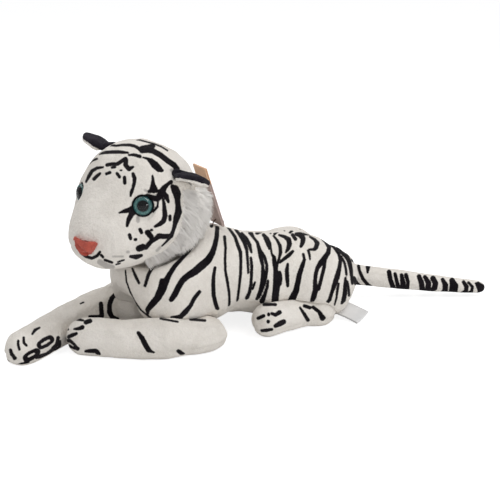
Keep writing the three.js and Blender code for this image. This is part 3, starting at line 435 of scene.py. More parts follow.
torsoStrokes = {
    "shoulder": [
        [(217.3, 213, 3), (217.3, 225, 3.2), (216.8, 235.9, 4), (215, 245, 4.5), (212.3, 253.2, 5.5),
         (207.7, 260.5, 7), (201.4, 265.9, 7.5), (195, 271.4, 7), (187.7, 275.9, 6), (182.3, 280.5, 5.5),
         (178.6, 286.8, 5.5), (175, 294.1, 5.5), (171.4, 299.5, 4.5)],
        [(194.5, 244.5, 2), (187.7, 252.3, 3), (181.4, 259.1, 3), (175, 265.9, 4), (169.5, 274.1, 4.5),
         (165.9, 281.4, 6), (162.3, 290.5, 6.5), (157.7, 297.7, 6.5), (151.4, 305, 6), (147.7, 309.5, 4.5),
         (147.7, 314, 2)],
        [(161.8, 280.5, 4), (160.5, 287.7, 4.5), (157.7, 295, 5)],
        [(152.3, 267.3, 3), (148.6, 274.1, 3), (145, 285.9, 2.5)],
        [(132.3, 268.6, 1.5), (135.9, 276.8, 2.5), (139.1, 283.2, 2)],
        [(125.5, 270.5, 1), (126.4, 281.4, 1), (130, 291.4, 1), (134.1, 300.5, 1), (140.5, 309.5, 1),
         (146.8, 315, 1), (151.4, 318.2, 1)],
        [(199.5, 291.8, 3), (194.1, 298.6, 3.5), (190.5, 305.9, 3.5), (185, 312.3, 5), (180.5, 316.8, 4),
         (171.4, 317.3, 1.5)],
        [(203, 212, 3), (206.5, 218, 3)],
        [(212, 222, 3), (211.5, 226, 3)],
    ],
    "ribs": [
        [(215, 267.7, 2.5), (213.6, 275.9, 3), (213.2, 285, 3.5), (213.6, 295, 3.5), (215.5, 303.2, 3.5),
         (218.2, 311.4, 3.5), (221.8, 317.7, 4), (224, 321.4, 3)],
        [(224.5, 236.8, 2.5), (225.5, 247.7, 2), (225, 260.5, 2), (225.5, 271.4, 2), (227.3, 281.4, 2.5),
         (229.1, 292.3, 2), (229.5, 302.3, 2), (228.2, 313.2, 1.5)],
        [(226, 225, 1.5), (230.5, 230.5, 2), (235, 236.8, 2.5), (237.7, 245, 3), (240.5, 252.3, 3),
         (240.9, 261.4, 2.5), (240.5, 274.1, 2.5), (239.1, 287.7, 2), (237.3, 301.4, 2)],
        [(238.2, 302.3, 2.5), (235.9, 308.6, 3), (233.2, 315, 3)],
        [(235.5, 229.5, 2), (240, 235, 3), (244.5, 242.3, 3.5), (246.8, 250.5, 2.5), (247.7, 261.4, 2),
         (248.2, 273.2, 1.5)],
        [(241.8, 233.6, 2.5), (246.4, 238.6, 3), (249.5, 245, 3.5), (251.4, 252.3, 1.5)],
        [(250.9, 257.7, 2), (251.8, 265.9, 2.5), (251.4, 275.9, 2.5), (250.9, 284.1, 2.5), (249.5, 292.3, 3),
         (246.4, 299.5, 3.5), (244.5, 305.9, 3), (245, 308.6, 3)],
        [(255, 282.3, 1.5), (252.7, 288.6, 2)],
        [(250.5, 232.7, 4), (253.6, 237.7, 2), (257.3, 242.3, 2.5), (259.1, 248.6, 3.5), (260.9, 256.8, 4),
         (262.7, 265.9, 2.5), (263.2, 275, 4), (262.7, 283.2, 5), (260.9, 290.5, 4), (258.2, 296.8, 3.5),
         (256.4, 299.5, 2)],
        [(260, 249.5, 2), (264.5, 256.8, 2.5), (266.8, 265, 2.5), (266.8, 270.5, 2.5), (265.5, 277.7, 3),
         (263.6, 285, 3)],
        [(268.2, 280.5, 1.5), (267.3, 286.8, 2.5), (265, 294.1, 3), (262.3, 300.5, 4.5), (259.1, 305.9, 4),
         (258.2, 309.5, 2)],
        [(257, 233, 3), (262, 231, 3)],
    ],
    "haunch": [
        [(263.6, 235, 3), (267.3, 238.6, 3), (269.5, 243.2, 3), (270.9, 248.6, 1.5), (271.8, 254.1, 1.5),
         (274.1, 257.7, 3.5), (274.5, 263.2, 4), (275.5, 268.6, 4), (276.4, 275.9, 6), (276.8, 283.2, 7),
         (275.9, 290.5, 6.5), (275, 300.5, 6.5)],
        [(264.5, 237.7, 2), (267.3, 244.1, 2), (269.5, 248.6, 2)],
        [(273.6, 235.9, 1.5), (277.3, 240.5, 2), (280, 245.9, 3), (280.5, 252.3, 3), (279.1, 258.6, 2),
         (277.3, 264.1, 2), (276.4, 268.6, 2.5)],
        [(280, 272.3, 2.5), (280.5, 278.6, 3.5), (280, 284.1, 3)],
        [(292.7, 251.4, 2.5), (289.1, 255, 3.5), (284.5, 258.6, 3), (280, 262.3, 2)],
        [(279.1, 235, 1.5), (284.5, 236.8, 3), (288.6, 239.5, 4.5), (289.5, 244.1, 4.5), (288.2, 248.6, 3.5),
         (285.9, 252.3, 1.5)],
        [(274.5, 234.1, 2), (277.3, 231.4, 2), (280, 230, 2)],
        [(292.7, 235, 3), (295.5, 239.1, 3)],
        [(296.4, 234.1, 3), (300.9, 235, 5.5), (303.2, 238.6, 4.5), (302.7, 242.3, 4), (300.9, 246.4, 2.5)],
        [(304.5, 233.6, 3), (312.7, 233.6, 3)],
        [(310, 236.8, 1.5), (314.5, 239.5, 2.5), (317.3, 243.2, 4), (315.9, 247.7, 4), (314.5, 249.5, 2.5),
         (309.1, 249.5, 1.5)],
        [(308.2, 250.5, 2), (309.5, 255, 2), (310, 259.5, 1)],
        [(287.7, 264.1, 2), (286.8, 270.5, 3.5), (287.3, 278.6, 3.5), (287.7, 285.9, 2.5)],
        [(303.2, 254.1, 2), (304.5, 259.5, 2.5), (302.3, 265.9, 4), (299.5, 274.1, 4.5), (297.7, 283.2, 5),
         (295.9, 291.4, 5.5), (292.7, 297.7, 6.5), (290, 300.5, 4)],
        # painted shadow: a thin dark line along the crease where the haunch meets the foot
        [(280.9, 302.3, 1.5), (290.9, 303.2, 1.5), (302.7, 305.9, 1.5), (313.6, 307.7, 1.5)],
        [(320.9, 236.8, 2.5), (325.5, 241.8, 2.5), (329.1, 247.3, 3.5), (328.2, 252.7, 4), (324.5, 258.2, 5),
         (320.9, 262.7, 5), (317.3, 268.2, 3.5), (315.5, 275.5, 3.5), (315, 282.7, 3.5), (315.5, 290, 5),
         (313.6, 297.3, 5), (310.9, 303.6, 2.5), (308.2, 305.9, 2)],
        [(325, 260, 3), (324.1, 267.3, 3), (322.3, 274.5, 3), (320.5, 281.8, 3), (318.6, 289.1, 3)],
    ],
    "rump": [
        [(330.5, 243.2, 3), (334.5, 248.2, 2), (338.6, 253.6, 2.5), (340.5, 260, 3), (339.5, 267.3, 3.5),
         (337.3, 276.4, 5), (334.1, 285.5, 4), (331.8, 292.7, 3), (329.5, 300, 3), (325.5, 304.5, 2.5),
         (321.8, 306.8, 1.5)],
        [(338.6, 283.6, 2), (337.3, 290.9, 2), (336.4, 298.2, 1.6), (334.5, 305, 1)],
        [(337.3, 248.2, 3), (341.8, 252.7, 3), (346.4, 256.4, 4), (349.1, 260.9, 4), (350.9, 269.1, 3.5),
         (351.8, 278.2, 2.5), (352.3, 283.6, 2)],
        [(340.9, 256.4, 2), (344.5, 262.7, 2), (345.9, 269.1, 2), (346.4, 274.5, 2)],
        [(345.5, 278.2, 2), (345, 285.5, 3), (345, 292.7, 4), (343.6, 300, 4), (341.8, 303.2, 2)],
        [(347.3, 281.8, 2), (348.6, 289.1, 2), (349.1, 295.5, 2)],
        [(265.9, 228.6, 2.5), (270, 225, 3), (276.4, 225.5, 2.5), (281.8, 224.5, 2.5), (286.4, 226.4, 1.5)],
        [(289, 224, 1), (295.5, 226.4, 1), (300.9, 229.1, 1)],
        [(269.5, 230.5, 2), (270.5, 232.7, 2)],
        [(283.5, 230.5, 1.5), (284.5, 230.5, 1.5)],
        [(290, 232.3, 2), (293.6, 229.5, 2)],
        [(353, 260, 3), (356, 261.5, 3)],
        *tailRootStrokes,
    ],
}

hindFootStrokes = [
    [(264, 304.5, 2.5), (275.5, 304.5, 2.5)],
    [(268.6, 314, 2.5), (268.6, 315, 2.5)],
    [(271.8, 313.6, 2.5), (275.5, 315, 3), (279.5, 312.3, 4)],
    [(258.2, 318.2, 3), (263.6, 315.9, 3)],
    [(268.2, 321.4, 3), (268.2, 321.8, 3)],
    [(275.5, 325.9, 3.5), (280, 323.6, 5), (283.6, 321.8, 4.5)],
    [(261.8, 330.9, 3), (266.4, 330.5, 3.5), (271.8, 329.5, 2.5)],
    [(268.2, 336.8, 2.5), (275.5, 337.3, 2.5), (278.6, 334.5, 2.5)],
    [(300, 307.7, 1.5), (304.5, 314.5, 3), (308.2, 320.5, 3)],
    [(313.2, 307.3, 3), (319.1, 311.8, 3), (322.7, 318.2, 5.5)],
    # painted shadow: a dark line in the crease under the haunch
    [(304.5, 305.9, 3), (310, 307.7, 3)],
]

farForelegStrokes = [
    [(100.9, 303.6, 3.5), (101.4, 310, 4), (101.8, 316, 4)],
    [(89.5, 316.4, 2), (94.5, 316.8, 3), (100, 316, 2)],
    [(120.9, 291.4, 2), (115.5, 294.1, 3.5), (111.8, 298.2, 4), (109.5, 304.5, 4), (109.5, 311.8, 4.5),
     (111.8, 316.8, 4), (118.2, 319.1, 1.5)],
    [(80.5, 303.6, 1), (83.6, 302.3, 1)],
    [(32.3, 334.1, 1.5), (35, 330, 2.5), (39.5, 327.7, 1.5)],
    [(18.2, 340.9, 2), (18.2, 345.5, 2), (19.5, 349.5, 2)],
    [(23.6, 337.7, 2), (23.8, 342.7, 2), (26.4, 345.5, 2)],
    [(10.5, 350, 2.5), (11.8, 354.5, 3.5), (14.5, 358.2, 3.5)],
    [(3.6, 355.5, 3.5), (4.5, 359.5, 3), (8.2, 361.8, 2)],
    [(17.3, 365.5, 2.5), (23.6, 363.6, 2.5), (28.2, 361.8, 2.5)],
    [(41, 345, 8), (45.5, 342.3, 9.5), (50, 339.5, 8)],
    [(27, 358, 8), (31, 355.5, 9), (36.5, 352.5, 8)],
    [(58.2, 337.7, 3), (56.8, 344.5, 3), (52.7, 350, 3), (47.3, 354.1, 3), (40, 356.4, 3)],
    [(60, 341.8, 3), (59, 347.3, 3), (54.5, 351.8, 3), (45.5, 355.9, 3), (36.4, 357.3, 3)],
]
# painted highlights: the light spots on the far paw's glossy black pads, left without ink so the plush shows
farPadHighlights = [
    [(42, 344.5, 2), (45.5, 342.5, 2.6), (49, 340.5, 2)],
    [(29, 356.7, 2), (31, 355.5, 2.4), (34, 353.8, 2)],
]

nearForelegStrokes = [
    [(67.3, 321.8, 2), (72.7, 319.1, 1.5), (76.8, 319.1, 2.5), (83.2, 320.5, 1.5)],
    [(85.9, 322.3, 4), (90, 320.9, 4)],
    [(63.6, 328.2, 1.5), (63.6, 330.5, 1.5)],
    [(64.5, 328.2, 1.5), (68.2, 329.5, 1.5)],
    [(74.1, 329.1, 1.5), (79.1, 328.6, 3), (82.3, 327.3, 4)],
    [(68.6, 336.8, 3), (72.7, 335, 3.5), (76.4, 333.6, 2.5)],
    [(63.6, 342.7, 5), (69.1, 342.7, 7), (72.7, 345.5, 6), (77.7, 349.1, 3)],
    [(85.5, 351.4, 2), (95.5, 350.9, 4), (99, 354.1, 3)],
    [(138.3, 332.8, 3), (142.2, 338.3, 4.5), (145.6, 345, 5), (148.9, 350.6, 4.5), (153.9, 352.8, 1.5)],
    [(178.3, 351.1, 3), (182.8, 354.4, 4)],
    [(160.5, 318.6, 1.5), (177.7, 321.8, 1.5)],
    [(190.5, 319.5, 2), (205, 320.5, 2)],
]
# painted highlight on the near paw's glossy black pad, left without ink
nearPadHighlights = [[(65.5, 343.2, 1.4), (69.5, 343.8, 2), (72.5, 346, 1.4)]]

tailStrokes = [
    *tailRootStrokes,
    [(368, 267, 4), (367.5, 272.5, 1.5)],
    [(389, 272, 4), (390.5, 280, 4), (393, 287, 4.5), (395, 291.5, 4)],
    [(395, 274, 3), (396.5, 280, 3), (398.5, 288, 4)],
    [(401.5, 275, 3), (403, 283, 5), (403, 291, 6)],
    [(406, 275, 3.5), (408, 282, 3), (407.5, 288, 3), (405, 291.5, 3)],
    [(419, 276.5, 4), (421.5, 283, 5), (422.5, 291.5, 5)],
    [(425, 277, 3.5), (428.5, 283, 5), (428, 289, 5), (425, 292, 3)],
    [(433, 278.5, 5), (435.5, 283, 5), (434.5, 288, 5), (431, 290.5, 3)],
    [(442.5, 279.5, 3), (445.5, 285, 5), (445, 291, 5), (441.5, 293, 3)],
    [(452, 280.5, 5), (454, 286, 8), (453, 292, 8), (449, 293, 3)],
    [(463.5, 282, 3), (466.5, 286.5, 4), (466, 291, 3.5), (461.5, 293.5, 2.5)],
    [(468.5, 282.5, 2), (472.5, 287, 2.5), (471.5, 291.5, 2.5), (466.5, 293.5, 2)],
    [(476, 283.5, 2), (478, 284.5, 5), (482, 289, 9), (480, 294, 5)],
    [(474, 294.5, 3), (480, 294.8, 3)],
]

# plush skins, each grown over the solids that it stands for


def gather(name, nodeNames):
    bm = bmesh.new()
    for each in nodeNames:
        bm.from_mesh(nodes[each].data)
    bmesh.ops.remove_doubles(bm, verts=bm.verts, dist=0.01 * millimetre)
    return fromBmesh(name, bm)


def finished(made):
    # the piece with its modifiers applied, as a mesh of its own
    depsgraph = bpy.context.evaluated_depsgraph_get()
    mesh = bpy.data.meshes.new_from_object(made.evaluated_get(depsgraph))
    old = made.data
    made.modifiers.clear()
    made.data = mesh
    mesh.name = made.name
    mesh.shade_smooth()
    bpy.data.meshes.remove(old)
    return made


def withModifier(made, kind, **settings):
    modifier = made.modifiers.new(kind.lower(), kind)
    for key, value in settings.items():
        setattr(modifier, key, value)
    return finished(made)


def keepLargest(made):
    bm = bmesh.new()
    bm.from_mesh(made.data)
    seen = set()
    groups = []
    for vert in bm.verts:
        if vert in seen:
            continue
        seen.add(vert)
        group = [vert]
        for each in group:
            for edge in each.link_edges:
                other = edge.other_vert(each)
                if other not in seen:
                    seen.add(other)
                    group.append(other)
        groups.append(group)
    groups.sort(key=len)
    for group in groups[:-1]:
        bmesh.ops.delete(bm, geom=group, context="VERTS")
    bm.to_mesh(made.data)
    bm.free()


def vectorsOf(items, key):
    flat = np.zeros(len(items) * 3)
    items.foreach_get(key, flat)
    return flat.reshape(-1, 3)


def coordsOf(made):
    return vectorsOf(made.data.vertices, "co")


def normalsOf(made):
    return vectorsOf(made.data.vertex_normals, "vector")


def moveTo(made, coords):
    made.data.vertices.foreach_set("co", coords.astype(np.float32).ravel())
    made.data.update()


def pushOut(made, amounts):
    # moves each point along its normal, by millimetres
    amounts = np.broadcast_to(np.asarray(amounts, float), (len(made.data.vertices),))
    moveTo(made, coordsOf(made) + normalsOf(made) * amounts[:, None] * millimetre)


def softLumps(made, size, height, seed):
    # the uneven filling under the cloth, as lumps of a size and height in millimetres
    shift = Vector((seed, seed * 2, seed * 3))
    points = coordsOf(made) / (size * millimetre)
    pushOut(made, [noise.noise(Vector(point) + shift) * height for point in points])


# a distance in millimetres at which a seam presses nothing
farSeam = 99


def pressSeam(made, distances, depth, width):
    # a groove where cloth is drawn in along a seam, all in millimetres
    pushOut(made, -depth * np.exp(-((distances / width) ** 2)))


def lieOnFloor(made):
    coords = coordsOf(made)
    coords[:, 2] = np.maximum(coords[:, 2], 0)
    moveTo(made, coords)


def plushSkin(name, nodeNames, facts):
    made = gather(name, nodeNames)
    withModifier(made, "REMESH", mode="VOXEL", voxel_size=facts["pitch"] * millimetre)
    keepLargest(made)
    withModifier(made, "SMOOTH", factor=0.5, iterations=facts["smoothing"])
    pushOut(made, facts["swell"])
    withModifier(made, "SUBSURF", levels=1, render_levels=1)
    for lumps in facts.get("lumps", ()):
        softLumps(made, *lumps)
    return made


# the printed pattern on the skins, with its painted shadows and highlights, with distances in pixels of the
# photograph

strokeSpread = 0.4
farOutside = -20.0
tiny = 1e-9


def strokeDistance(pixels, strokes):
    # the signed distance from the edge of the nearest stroke, more than 0 inside it
    best = np.full(len(pixels), farOutside)
    for stroke in strokes:
        for (startX, startY, startWidth), (endX, endY, endWidth) in zip(stroke, stroke[1:]):
            start = np.array([startX, startY])
            run = np.array([endX, endY]) - start
            share = np.clip(((pixels - start) @ run) / max(run @ run, tiny), 0, 1)
            away = np.linalg.norm(pixels - start - share[:, None] * run, axis=1)
            best = np.maximum(best, (startWidth + (endWidth - startWidth) * share) / 2 - away)
    return best


def outlineDistance(pixels, outline):
    # more than 0 inside a closed outline
    edge = strokeDistance(pixels, [[(x, y, 0) for x, y in outline + outline[:1]]])
    inside = np.zeros(len(pixels), bool)
    for (startX, startY), (endX, endY) in zip(outline, outline[1:] + outline[:1]):
        across = (startY > pixels[:, 1]) != (endY > pixels[:, 1])
        rise = endY - startY if endY != startY else tiny
        inside ^= across & (pixels[:, 0] < (endX - startX) * (pixels[:, 1] - startY) / rise + startX)
    return np.where(inside, -edge, edge)


def everyStroke(groups):
    return [stroke for strokes in groups.values() for stroke in strokes]


def addField(made, name, values):
    field = made.data.attributes.get(name) or made.data.attributes.new(name, "FLOAT", "POINT")
    field.data.foreach_set("value", np.asarray(values).astype(np.float32))


def smoothShare(values, low, high):
    share = np.clip((values - low) / (high - low), 0, 1)
    return share * share * (3 - 2 * share)


midline = {"chest": (-0.1333, 0.0035), "lean": math.radians(2.968)}
midlineAcross = np.array([math.sin(midline["lean"]), math.cos(midline["lean"]), 0])


def acrossMidline(points):
    # metres to the tiger's right of its middle plane
    return (points - np.array([*midline["chest"], 0])) @ midlineAcross


def mirrored(points):
    return points - 2 * acrossMidline(points)[:, None] * midlineAcross


printFacts = {
    # a spot counts as seen from this much facing, and on the near side of a blend in metres
    "facing": 0.25, "blend": 4 * millimetre,
    # what the distance loses where the other half's print is used, and on the underside
    "hidden": 12, "below": 7, "belowFrom": 0.45, "belowTo": 0.8,
}


def printThrough(made, strokes, paintedHighlights=(), fadeBelow=True, mirror=None):
    # the pattern as the photograph shows it, carried on through the piece to its far side,
    # or with mirror the far half, or the whole far piece, as the near one's mirror image
    points = coordsOf(made)
    pixels = toPixels(mirrored(points) if mirror == "piece" else points)
    black = strokeDistance(pixels, strokes) + strokeSpread
    if mirror == "half":
        seen = smoothShare(facing(points, normalsOf(made)), 0.0, printFacts["facing"])
        nearSide = smoothShare(-acrossMidline(points), -printFacts["blend"], printFacts["blend"])
        seen = np.maximum(seen, nearSide)
        other = strokeDistance(toPixels(mirrored(points)), strokes) + strokeSpread
        black = np.maximum(black - printFacts["hidden"] * (1 - seen), other - printFacts["hidden"] * seen)
    # painted highlights are cut out of the ink, so the light plush shows through there
    if paintedHighlights:
        black = np.minimum(black, -strokeDistance(pixels, paintedHighlights))
    if fadeBelow:
        under = smoothShare(-normalsOf(made)[:, 2], printFacts["belowFrom"], printFacts["belowTo"])
        black -= printFacts["below"] * under
    addField(made, "blackPrintAndPaintedLight", black)
    addField(made, "greyPrintAndShade", np.full(len(points), farOutside))


def finishSkin(made, facts, look):
    dress(made, look)
    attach(made, facts["body"])
    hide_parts(*facts["nodes"])
    print("made", made.name, len(made.data.polygons))


tigerPlush = plushMaterial("tiger_plush", plushLook)

# torso

torsoSkin = {
    "nodes": ["torso_panel_left", "torso_panel_right", "belly_panel", "torso_stuffing"],
    "body": "torso",
    "pitch": 2.6, "smoothing": 26, "swell": 0.9, "lumps": [(34, 1.6, 3), (13, 0.5, 8)],
    "backSeam": (0.7, 1.6),
    "bellyHeight": 42.0, "bellySeam": (0.7, 2.0), "bellySeamFades": (-45, -70), "bellySeamOff": 9,
    "haunch": {
        "from": -22, "to": 108, "fade": 28, "top": 78, "middle": 46, "inner": 18, "outer": 42,
        "drop": 9.5, "bulge": 2.5,
    },
    "shoulder": {
        "from": -168, "to": -28, "fade": 30, "top": 78, "middle": 46, "inner": 14, "outer": 36,
        "drop": 14, "bulge": 2.0,
    },
    "restGap": 0.4,
}


def sag(made, facts):
    # the filled haunches and shoulders sag on to the limbs, by millimetres
    points = coordsOf(made) / millimetre
    along = smoothShare(points[:, 0], facts["from"], facts["from"] + facts["fade"])
    along = along * smoothShare(points[:, 0], facts["to"], facts["to"] - facts["fade"])
    low = smoothShare(points[:, 2], facts["top"], facts["middle"])
    aside = smoothShare(np.abs(points[:, 1]), facts["inner"], facts["outer"])
    share = along * low * aside
    points[:, 2] -= facts["drop"] * share
    points[:, 1] += np.sign(points[:, 1]) * facts["bulge"] * share
    moveTo(made, points * millimetre)


def makeTorso(facts):
    made = plushSkin("torso", facts["nodes"], facts)
    points = coordsOf(made)
    upper = points[:, 2] > facts["bellyHeight"] * millimetre
    sag(made, facts["haunch"])
    sag(made, facts["shoulder"])
    printThrough(made, everyStroke(torsoStrokes), mirror="half")
    back = np.where(upper, np.abs(acrossMidline(points)) / millimetre, farSeam)
    pressSeam(made, back, *facts["backSeam"])
    # the belly's seam shows on the chest and fades out behind it
    ahead = smoothShare(points[:, 0] / millimetre, *facts["bellySeamFades"])
    belly = np.abs(points[:, 2] / millimetre - facts["bellyHeight"]) + facts["bellySeamOff"] * (1 - ahead)
    pressSeam(made, belly, *facts["bellySeam"])
    finishSkin(made, facts, tigerPlush)
    return made


torso = makeTorso(torsoSkin)

# legs, feet and tail

limbFacts = {"lumps": [(26, 1.2, 11), (11, 0.4, 17)], "soleSeam": (0.8, 1.7)}
forelegSkin = {"pitch": 2.1, "smoothing": 14, "swell": 0.5, "seamHeight": 9.0}
hindFootSkin = {"pitch": 1.9, "smoothing": 12, "swell": 0.5, "seamHeight": 8.0, "strokes": hindFootStrokes}
limbSkins = {
    "foreleg_left": {**forelegSkin, "strokes": nearForelegStrokes, "paintedHighlights": nearPadHighlights},
    "foreleg_right": {**forelegSkin, "strokes": farForelegStrokes, "paintedHighlights": farPadHighlights},
    "hind_foot_left": hindFootSkin,
    "hind_foot_right": {**hindFootSkin, "mirror": "piece"},
}
elbowPress = {"from": -128, "to": -82, "share": 0.26}


def pressElbow(made, facts):
    # the chest's weight flattens the leg's upper end
    points = coordsOf(made) / millimetre
    under = smoothShare(points[:, 0], facts["from"], facts["to"])
    points[:, 2] *= 1 - facts["share"] * under
    moveTo(made, points * millimetre)


def makeLimb(name, given, index):
    limb, side = name.rsplit("_", 1)
    facts = {
        **given, "body": name,
        "nodes": [f"{limb}_{part}_{side}" for part in ("upper", "sole", "stuffing")],
        "lumps": [(size, height, seed + index) for size, height, seed in limbFacts["lumps"]],
    }
    made = plushSkin(name, facts["nodes"], facts)
    if limb == "foreleg":
        pressElbow(made, elbowPress)
    printThrough(made, facts["strokes"], paintedHighlights=facts.get("paintedHighlights", ()), mirror=facts.get("mirror"))
    sole = np.abs(coordsOf(made)[:, 2] / millimetre - facts["seamHeight"])
    pressSeam(made, sole, *limbFacts["soleSeam"])
    lieOnFloor(made)
    finishSkin(made, facts, tigerPlush)
    return made


limbs = {name: makeLimb(name, facts, index) for index, (name, facts) in enumerate(limbSkins.items())}

swingSteps = 6
sidewaysShare = 0.5
upward = Vector((0, 0, 1))


def swung(joint, angle):
    # what turns with a joint, at an angle in degrees
    middle = Matrix.Translation(joint["pos_m"])
    return middle @ Matrix.Rotation(math.radians(angle), 4, Vector(joint["axis"])) @ middle.inverted()


def layAgainst(made, under, place, gap, lifted):
    # cloth inside a piece that stands at this place is laid on it, and lifted cloth is laid on its
    # top where the nearest way out leads well away from the body
    tree = BVHTree.FromObject(under, bpy.context.evaluated_depsgraph_get())
    turn, shift = np.array(place.to_3x3()), np.array(place.translation)
    corners = np.array(under.bound_box)
    low, high = corners.min(axis=0), corners.max(axis=0)
    sides = np.sign(coordsOf(made)[:, 1])
    coords = (coordsOf(made) - shift) @ turn
    within = ((coords > low) & (coords < high)).all(axis=1)
    for index in np.flatnonzero(within):
        point = Vector(coords[index])
        near, normal = tree.find_nearest(point)[:2]
        if (point - near).dot(normal) >= 0:
            continue
        outward = (near.y - point.y) * sides[index]
        if lifted and outward > max(sidewaysShare * abs(near.z - point.z), gap * millimetre):
            above = tree.ray_cast(point, upward)[0]
            near, normal = (above, upward) if above else (near, normal)
        coords[index] = near + normal * gap * millimetre
    moveTo(made, coords @ turn.T + shift)


def leaveRoom(made, moving, joint, gap, lifted=False):
    # room for the whole swing, from rest to each limit
    for limit in joint["range_deg"]:
        for step in range(swingSteps + 1):
            layAgainst(made, moving, swung(joint, limit * step / swingSteps), gap, lifted)


for name, limb in limbs.items():
    leaveRoom(torso, limb, joints[f"{name}_swing"], torsoSkin["restGap"], lifted=True)
print("torso laid on the limbs, over their swing")

tailSkin = {
    "nodes": ["tail_skin", "tail_stuffing"], "body": "tail",
    "pitch": 1.5, "smoothing": 8, "swell": 0.4, "lumps": [(18, 0.7, 5)],
}


def makeTail(facts):
    made = plushSkin("tail", facts["nodes"], facts)
    printThrough(made, tailStrokes, fadeBelow=False)
    finishSkin(made, facts, tigerPlush)


makeTail(tailSkin)

# head: its own axes run back, to the tiger's right and up from its middle

headSkin = {
    "nodes": ["crown_panel", "jaw_panel", "cheek_panel_left", "cheek_panel_right", "head_stuffing"],
    "body": "head",
    "pitch": 2.2, "smoothing": 14, "swell": 0.7, "lumps": [(30, 0.9, 21)],
    "turn": 25.5,
    "crownSeamAt": 25.0, "crownSeam": (0.35, 1.4),
    "jawSeamAt": -31.0, "jawSeamEnd": -6.0, "jawSeam": (0.7, 1.6),
}
headTurn = Matrix.Rotation(math.radians(headSkin["turn"]), 3, "Z")
headMiddle = np.array(joints["head_turn"]["pos_m"])


def inHead(points):
    # millimetres back, to the right and up from the head's middle
    return (points - headMiddle) @ np.array(headTurn) / millimetre


def fromHead(points):
    return np.asarray(points, float) * millimetre @ np.array(headTurn).T + headMiddle


# the strokes on the back of the head, in its millimetres to the right and up
napeStrokes = [
    [(-34, 30, 2), (-20, 41, 4), (0, 45, 4.5), (20, 41, 4), (34, 30, 2)],
    [(-40, 14, 2), (-24, 25, 4), (0, 30, 5), (24, 25, 4), (40, 14, 2)],
    [(-42, -2, 2), (-26, 8, 4), (0, 13, 4), (26, 8, 4), (42, -2, 2)],
    [(-38, -18, 2), (-24, -9, 3.5), (0, -4, 3), (24, -9, 3.5), (38, -18, 2)],
]
headPrint = {"facing": 0.22, "blend": 30, "hidden": 8, "printEnds": (34, 46), "napeStarts": (-30, -18)}


def printHead(made, facts):
    # the near half as photographed, and the half that faces away as its mirror image
    points = coordsOf(made)
    local = inHead(points)
    hidden = facts["hidden"]
    seen = smoothShare(facing(points, normalsOf(made)), 0.0, facts["facing"])
    nearSide = np.maximum(seen, smoothShare(-local[:, 1], 0, facts["blend"]))
    seen = np.where(local[:, 1] < 0, nearSide, seen)
    otherHalf = fromHead(local * [1, -1, 1])
    behind = smoothShare(local[:, 0], *facts["printEnds"])
    fields = {}
    for name, strokes in (("blackPrintAndPaintedLight", everyStroke(headStrokes)), ("greyPrintAndShade", headGreys)):
        direct = strokeDistance(toPixels(points), strokes) - hidden * (1 - seen)
        other = strokeDistance(toPixels(otherHalf), strokes) - hidden * np.where(local[:, 1] > 0, seen, 1)
        fields[name] = np.maximum(direct, other) - hidden * behind + strokeSpread
    ahead = smoothShare(-local[:, 0], *facts["napeStarts"])
    napes = strokeDistance(local[:, 1:], napeStrokes) - hidden * ahead
    fields["blackPrintAndPaintedLight"] = np.maximum(fields["blackPrintAndPaintedLight"], napes)
    for name, values in fields.items():
        addField(made, name, values)


# eyes: a painted back on its shank under a clear dome, in a socket pressed into the head's skin

eyeFacts = {
    "radius": 9.25, "dome": 5.5, "rimInset": 0.3, "rimDrop": 0.02,
    "backThickness": 1.2, "shankRadius": 2.1, "shank": 13, "backRise": 0.15, "backInset": 0.35,
    # what is pressed in, swollen and black in the skin, in millimetres past the eye's edge
    "pressed": (1.4, 0.2), "swollen": (5, 1.2), "lining": 1.5, "socketDepth": 2.2, "socketRim": 0.9,
    # radii on the painted back, and how far past them its colours run into each other
    "pupil": 4.7, "pupilEdge": (0.25, -0.1), "pupilRing": (1.6, 0.2), "ringShare": 0.7,
    "deepFrom": 6.2, "rim": 8.6, "rimEdge": (0, 0.5),
    "iris": (0.060, 0.175, 0.170, 1), "irisDeep": (0.012, 0.055, 0.062, 1),
    "irisPale": (0.13, 0.27, 0.25, 1), "pupilBlack": (0.003, 0.003, 0.004, 1),
    "rimBlack": (0.004, 0.004, 0.005, 1),
}
spinSteps = 48
domeSteps = 14
backSteps = 10


def past(radius, steps):
    return [radius + step for step in steps]


def discFrame(node, inside):
    # the middle of a round node's flat foot, and the turn that points +Z out of it
    points = np.array([vert.co for vert in nodes[node].data.vertices])
    middle = points.mean(axis=0)
    axis = np.linalg.svd(points - middle)[2][2]
    if axis @ (middle - inside) < 0:
        axis = -axis
    reach = (points - middle) @ axis
    foot = middle + axis * reach.min()
    across = Vector(axis).cross(upward).normalized()
    up = across.cross(Vector(axis)).normalized()
    turn = Matrix((-across, up, Vector(axis))).transposed()
    return Vector(foot), turn


def pressSocket(made, side, facts):
    # the cloth lies under the eye, swells a little round it and is printed black along its edge
    foot, turn = discFrame(f"eye_lens_{side}", headMiddle)
    points = coordsOf(made)
    local = (points - np.array(foot)) @ np.array(turn) / millimetre
    ring = np.hypot(local[:, 0], local[:, 1])
    near = np.abs(local[:, 2]) < facts["shank"]
    under = smoothShare(ring, *past(facts["radius"], facts["pressed"]))
    around = smoothShare(ring, *past(facts["radius"], facts["swollen"])) * (1 - under)
    height = local[:, 2]
    lowered = height + (np.clip(height, None, facts["socketRim"]) - height) * around
    height = np.where(around > 0, lowered, height)
    height = height + (np.minimum(height, -facts["socketDepth"]) - height) * under
    local[:, 2] = np.where(near, height, local[:, 2])
    moveTo(made, local @ np.array(turn).T * millimetre + np.array(foot))
    lining = (facts["radius"] + facts["lining"] - ring) * near + farOutside * ~near
    black = np.zeros(len(points), np.float32)
    made.data.attributes["blackPrintAndPaintedLight"].data.foreach_get("value", black)
    addField(made, "blackPrintAndPaintedLight", np.maximum(black, lining))


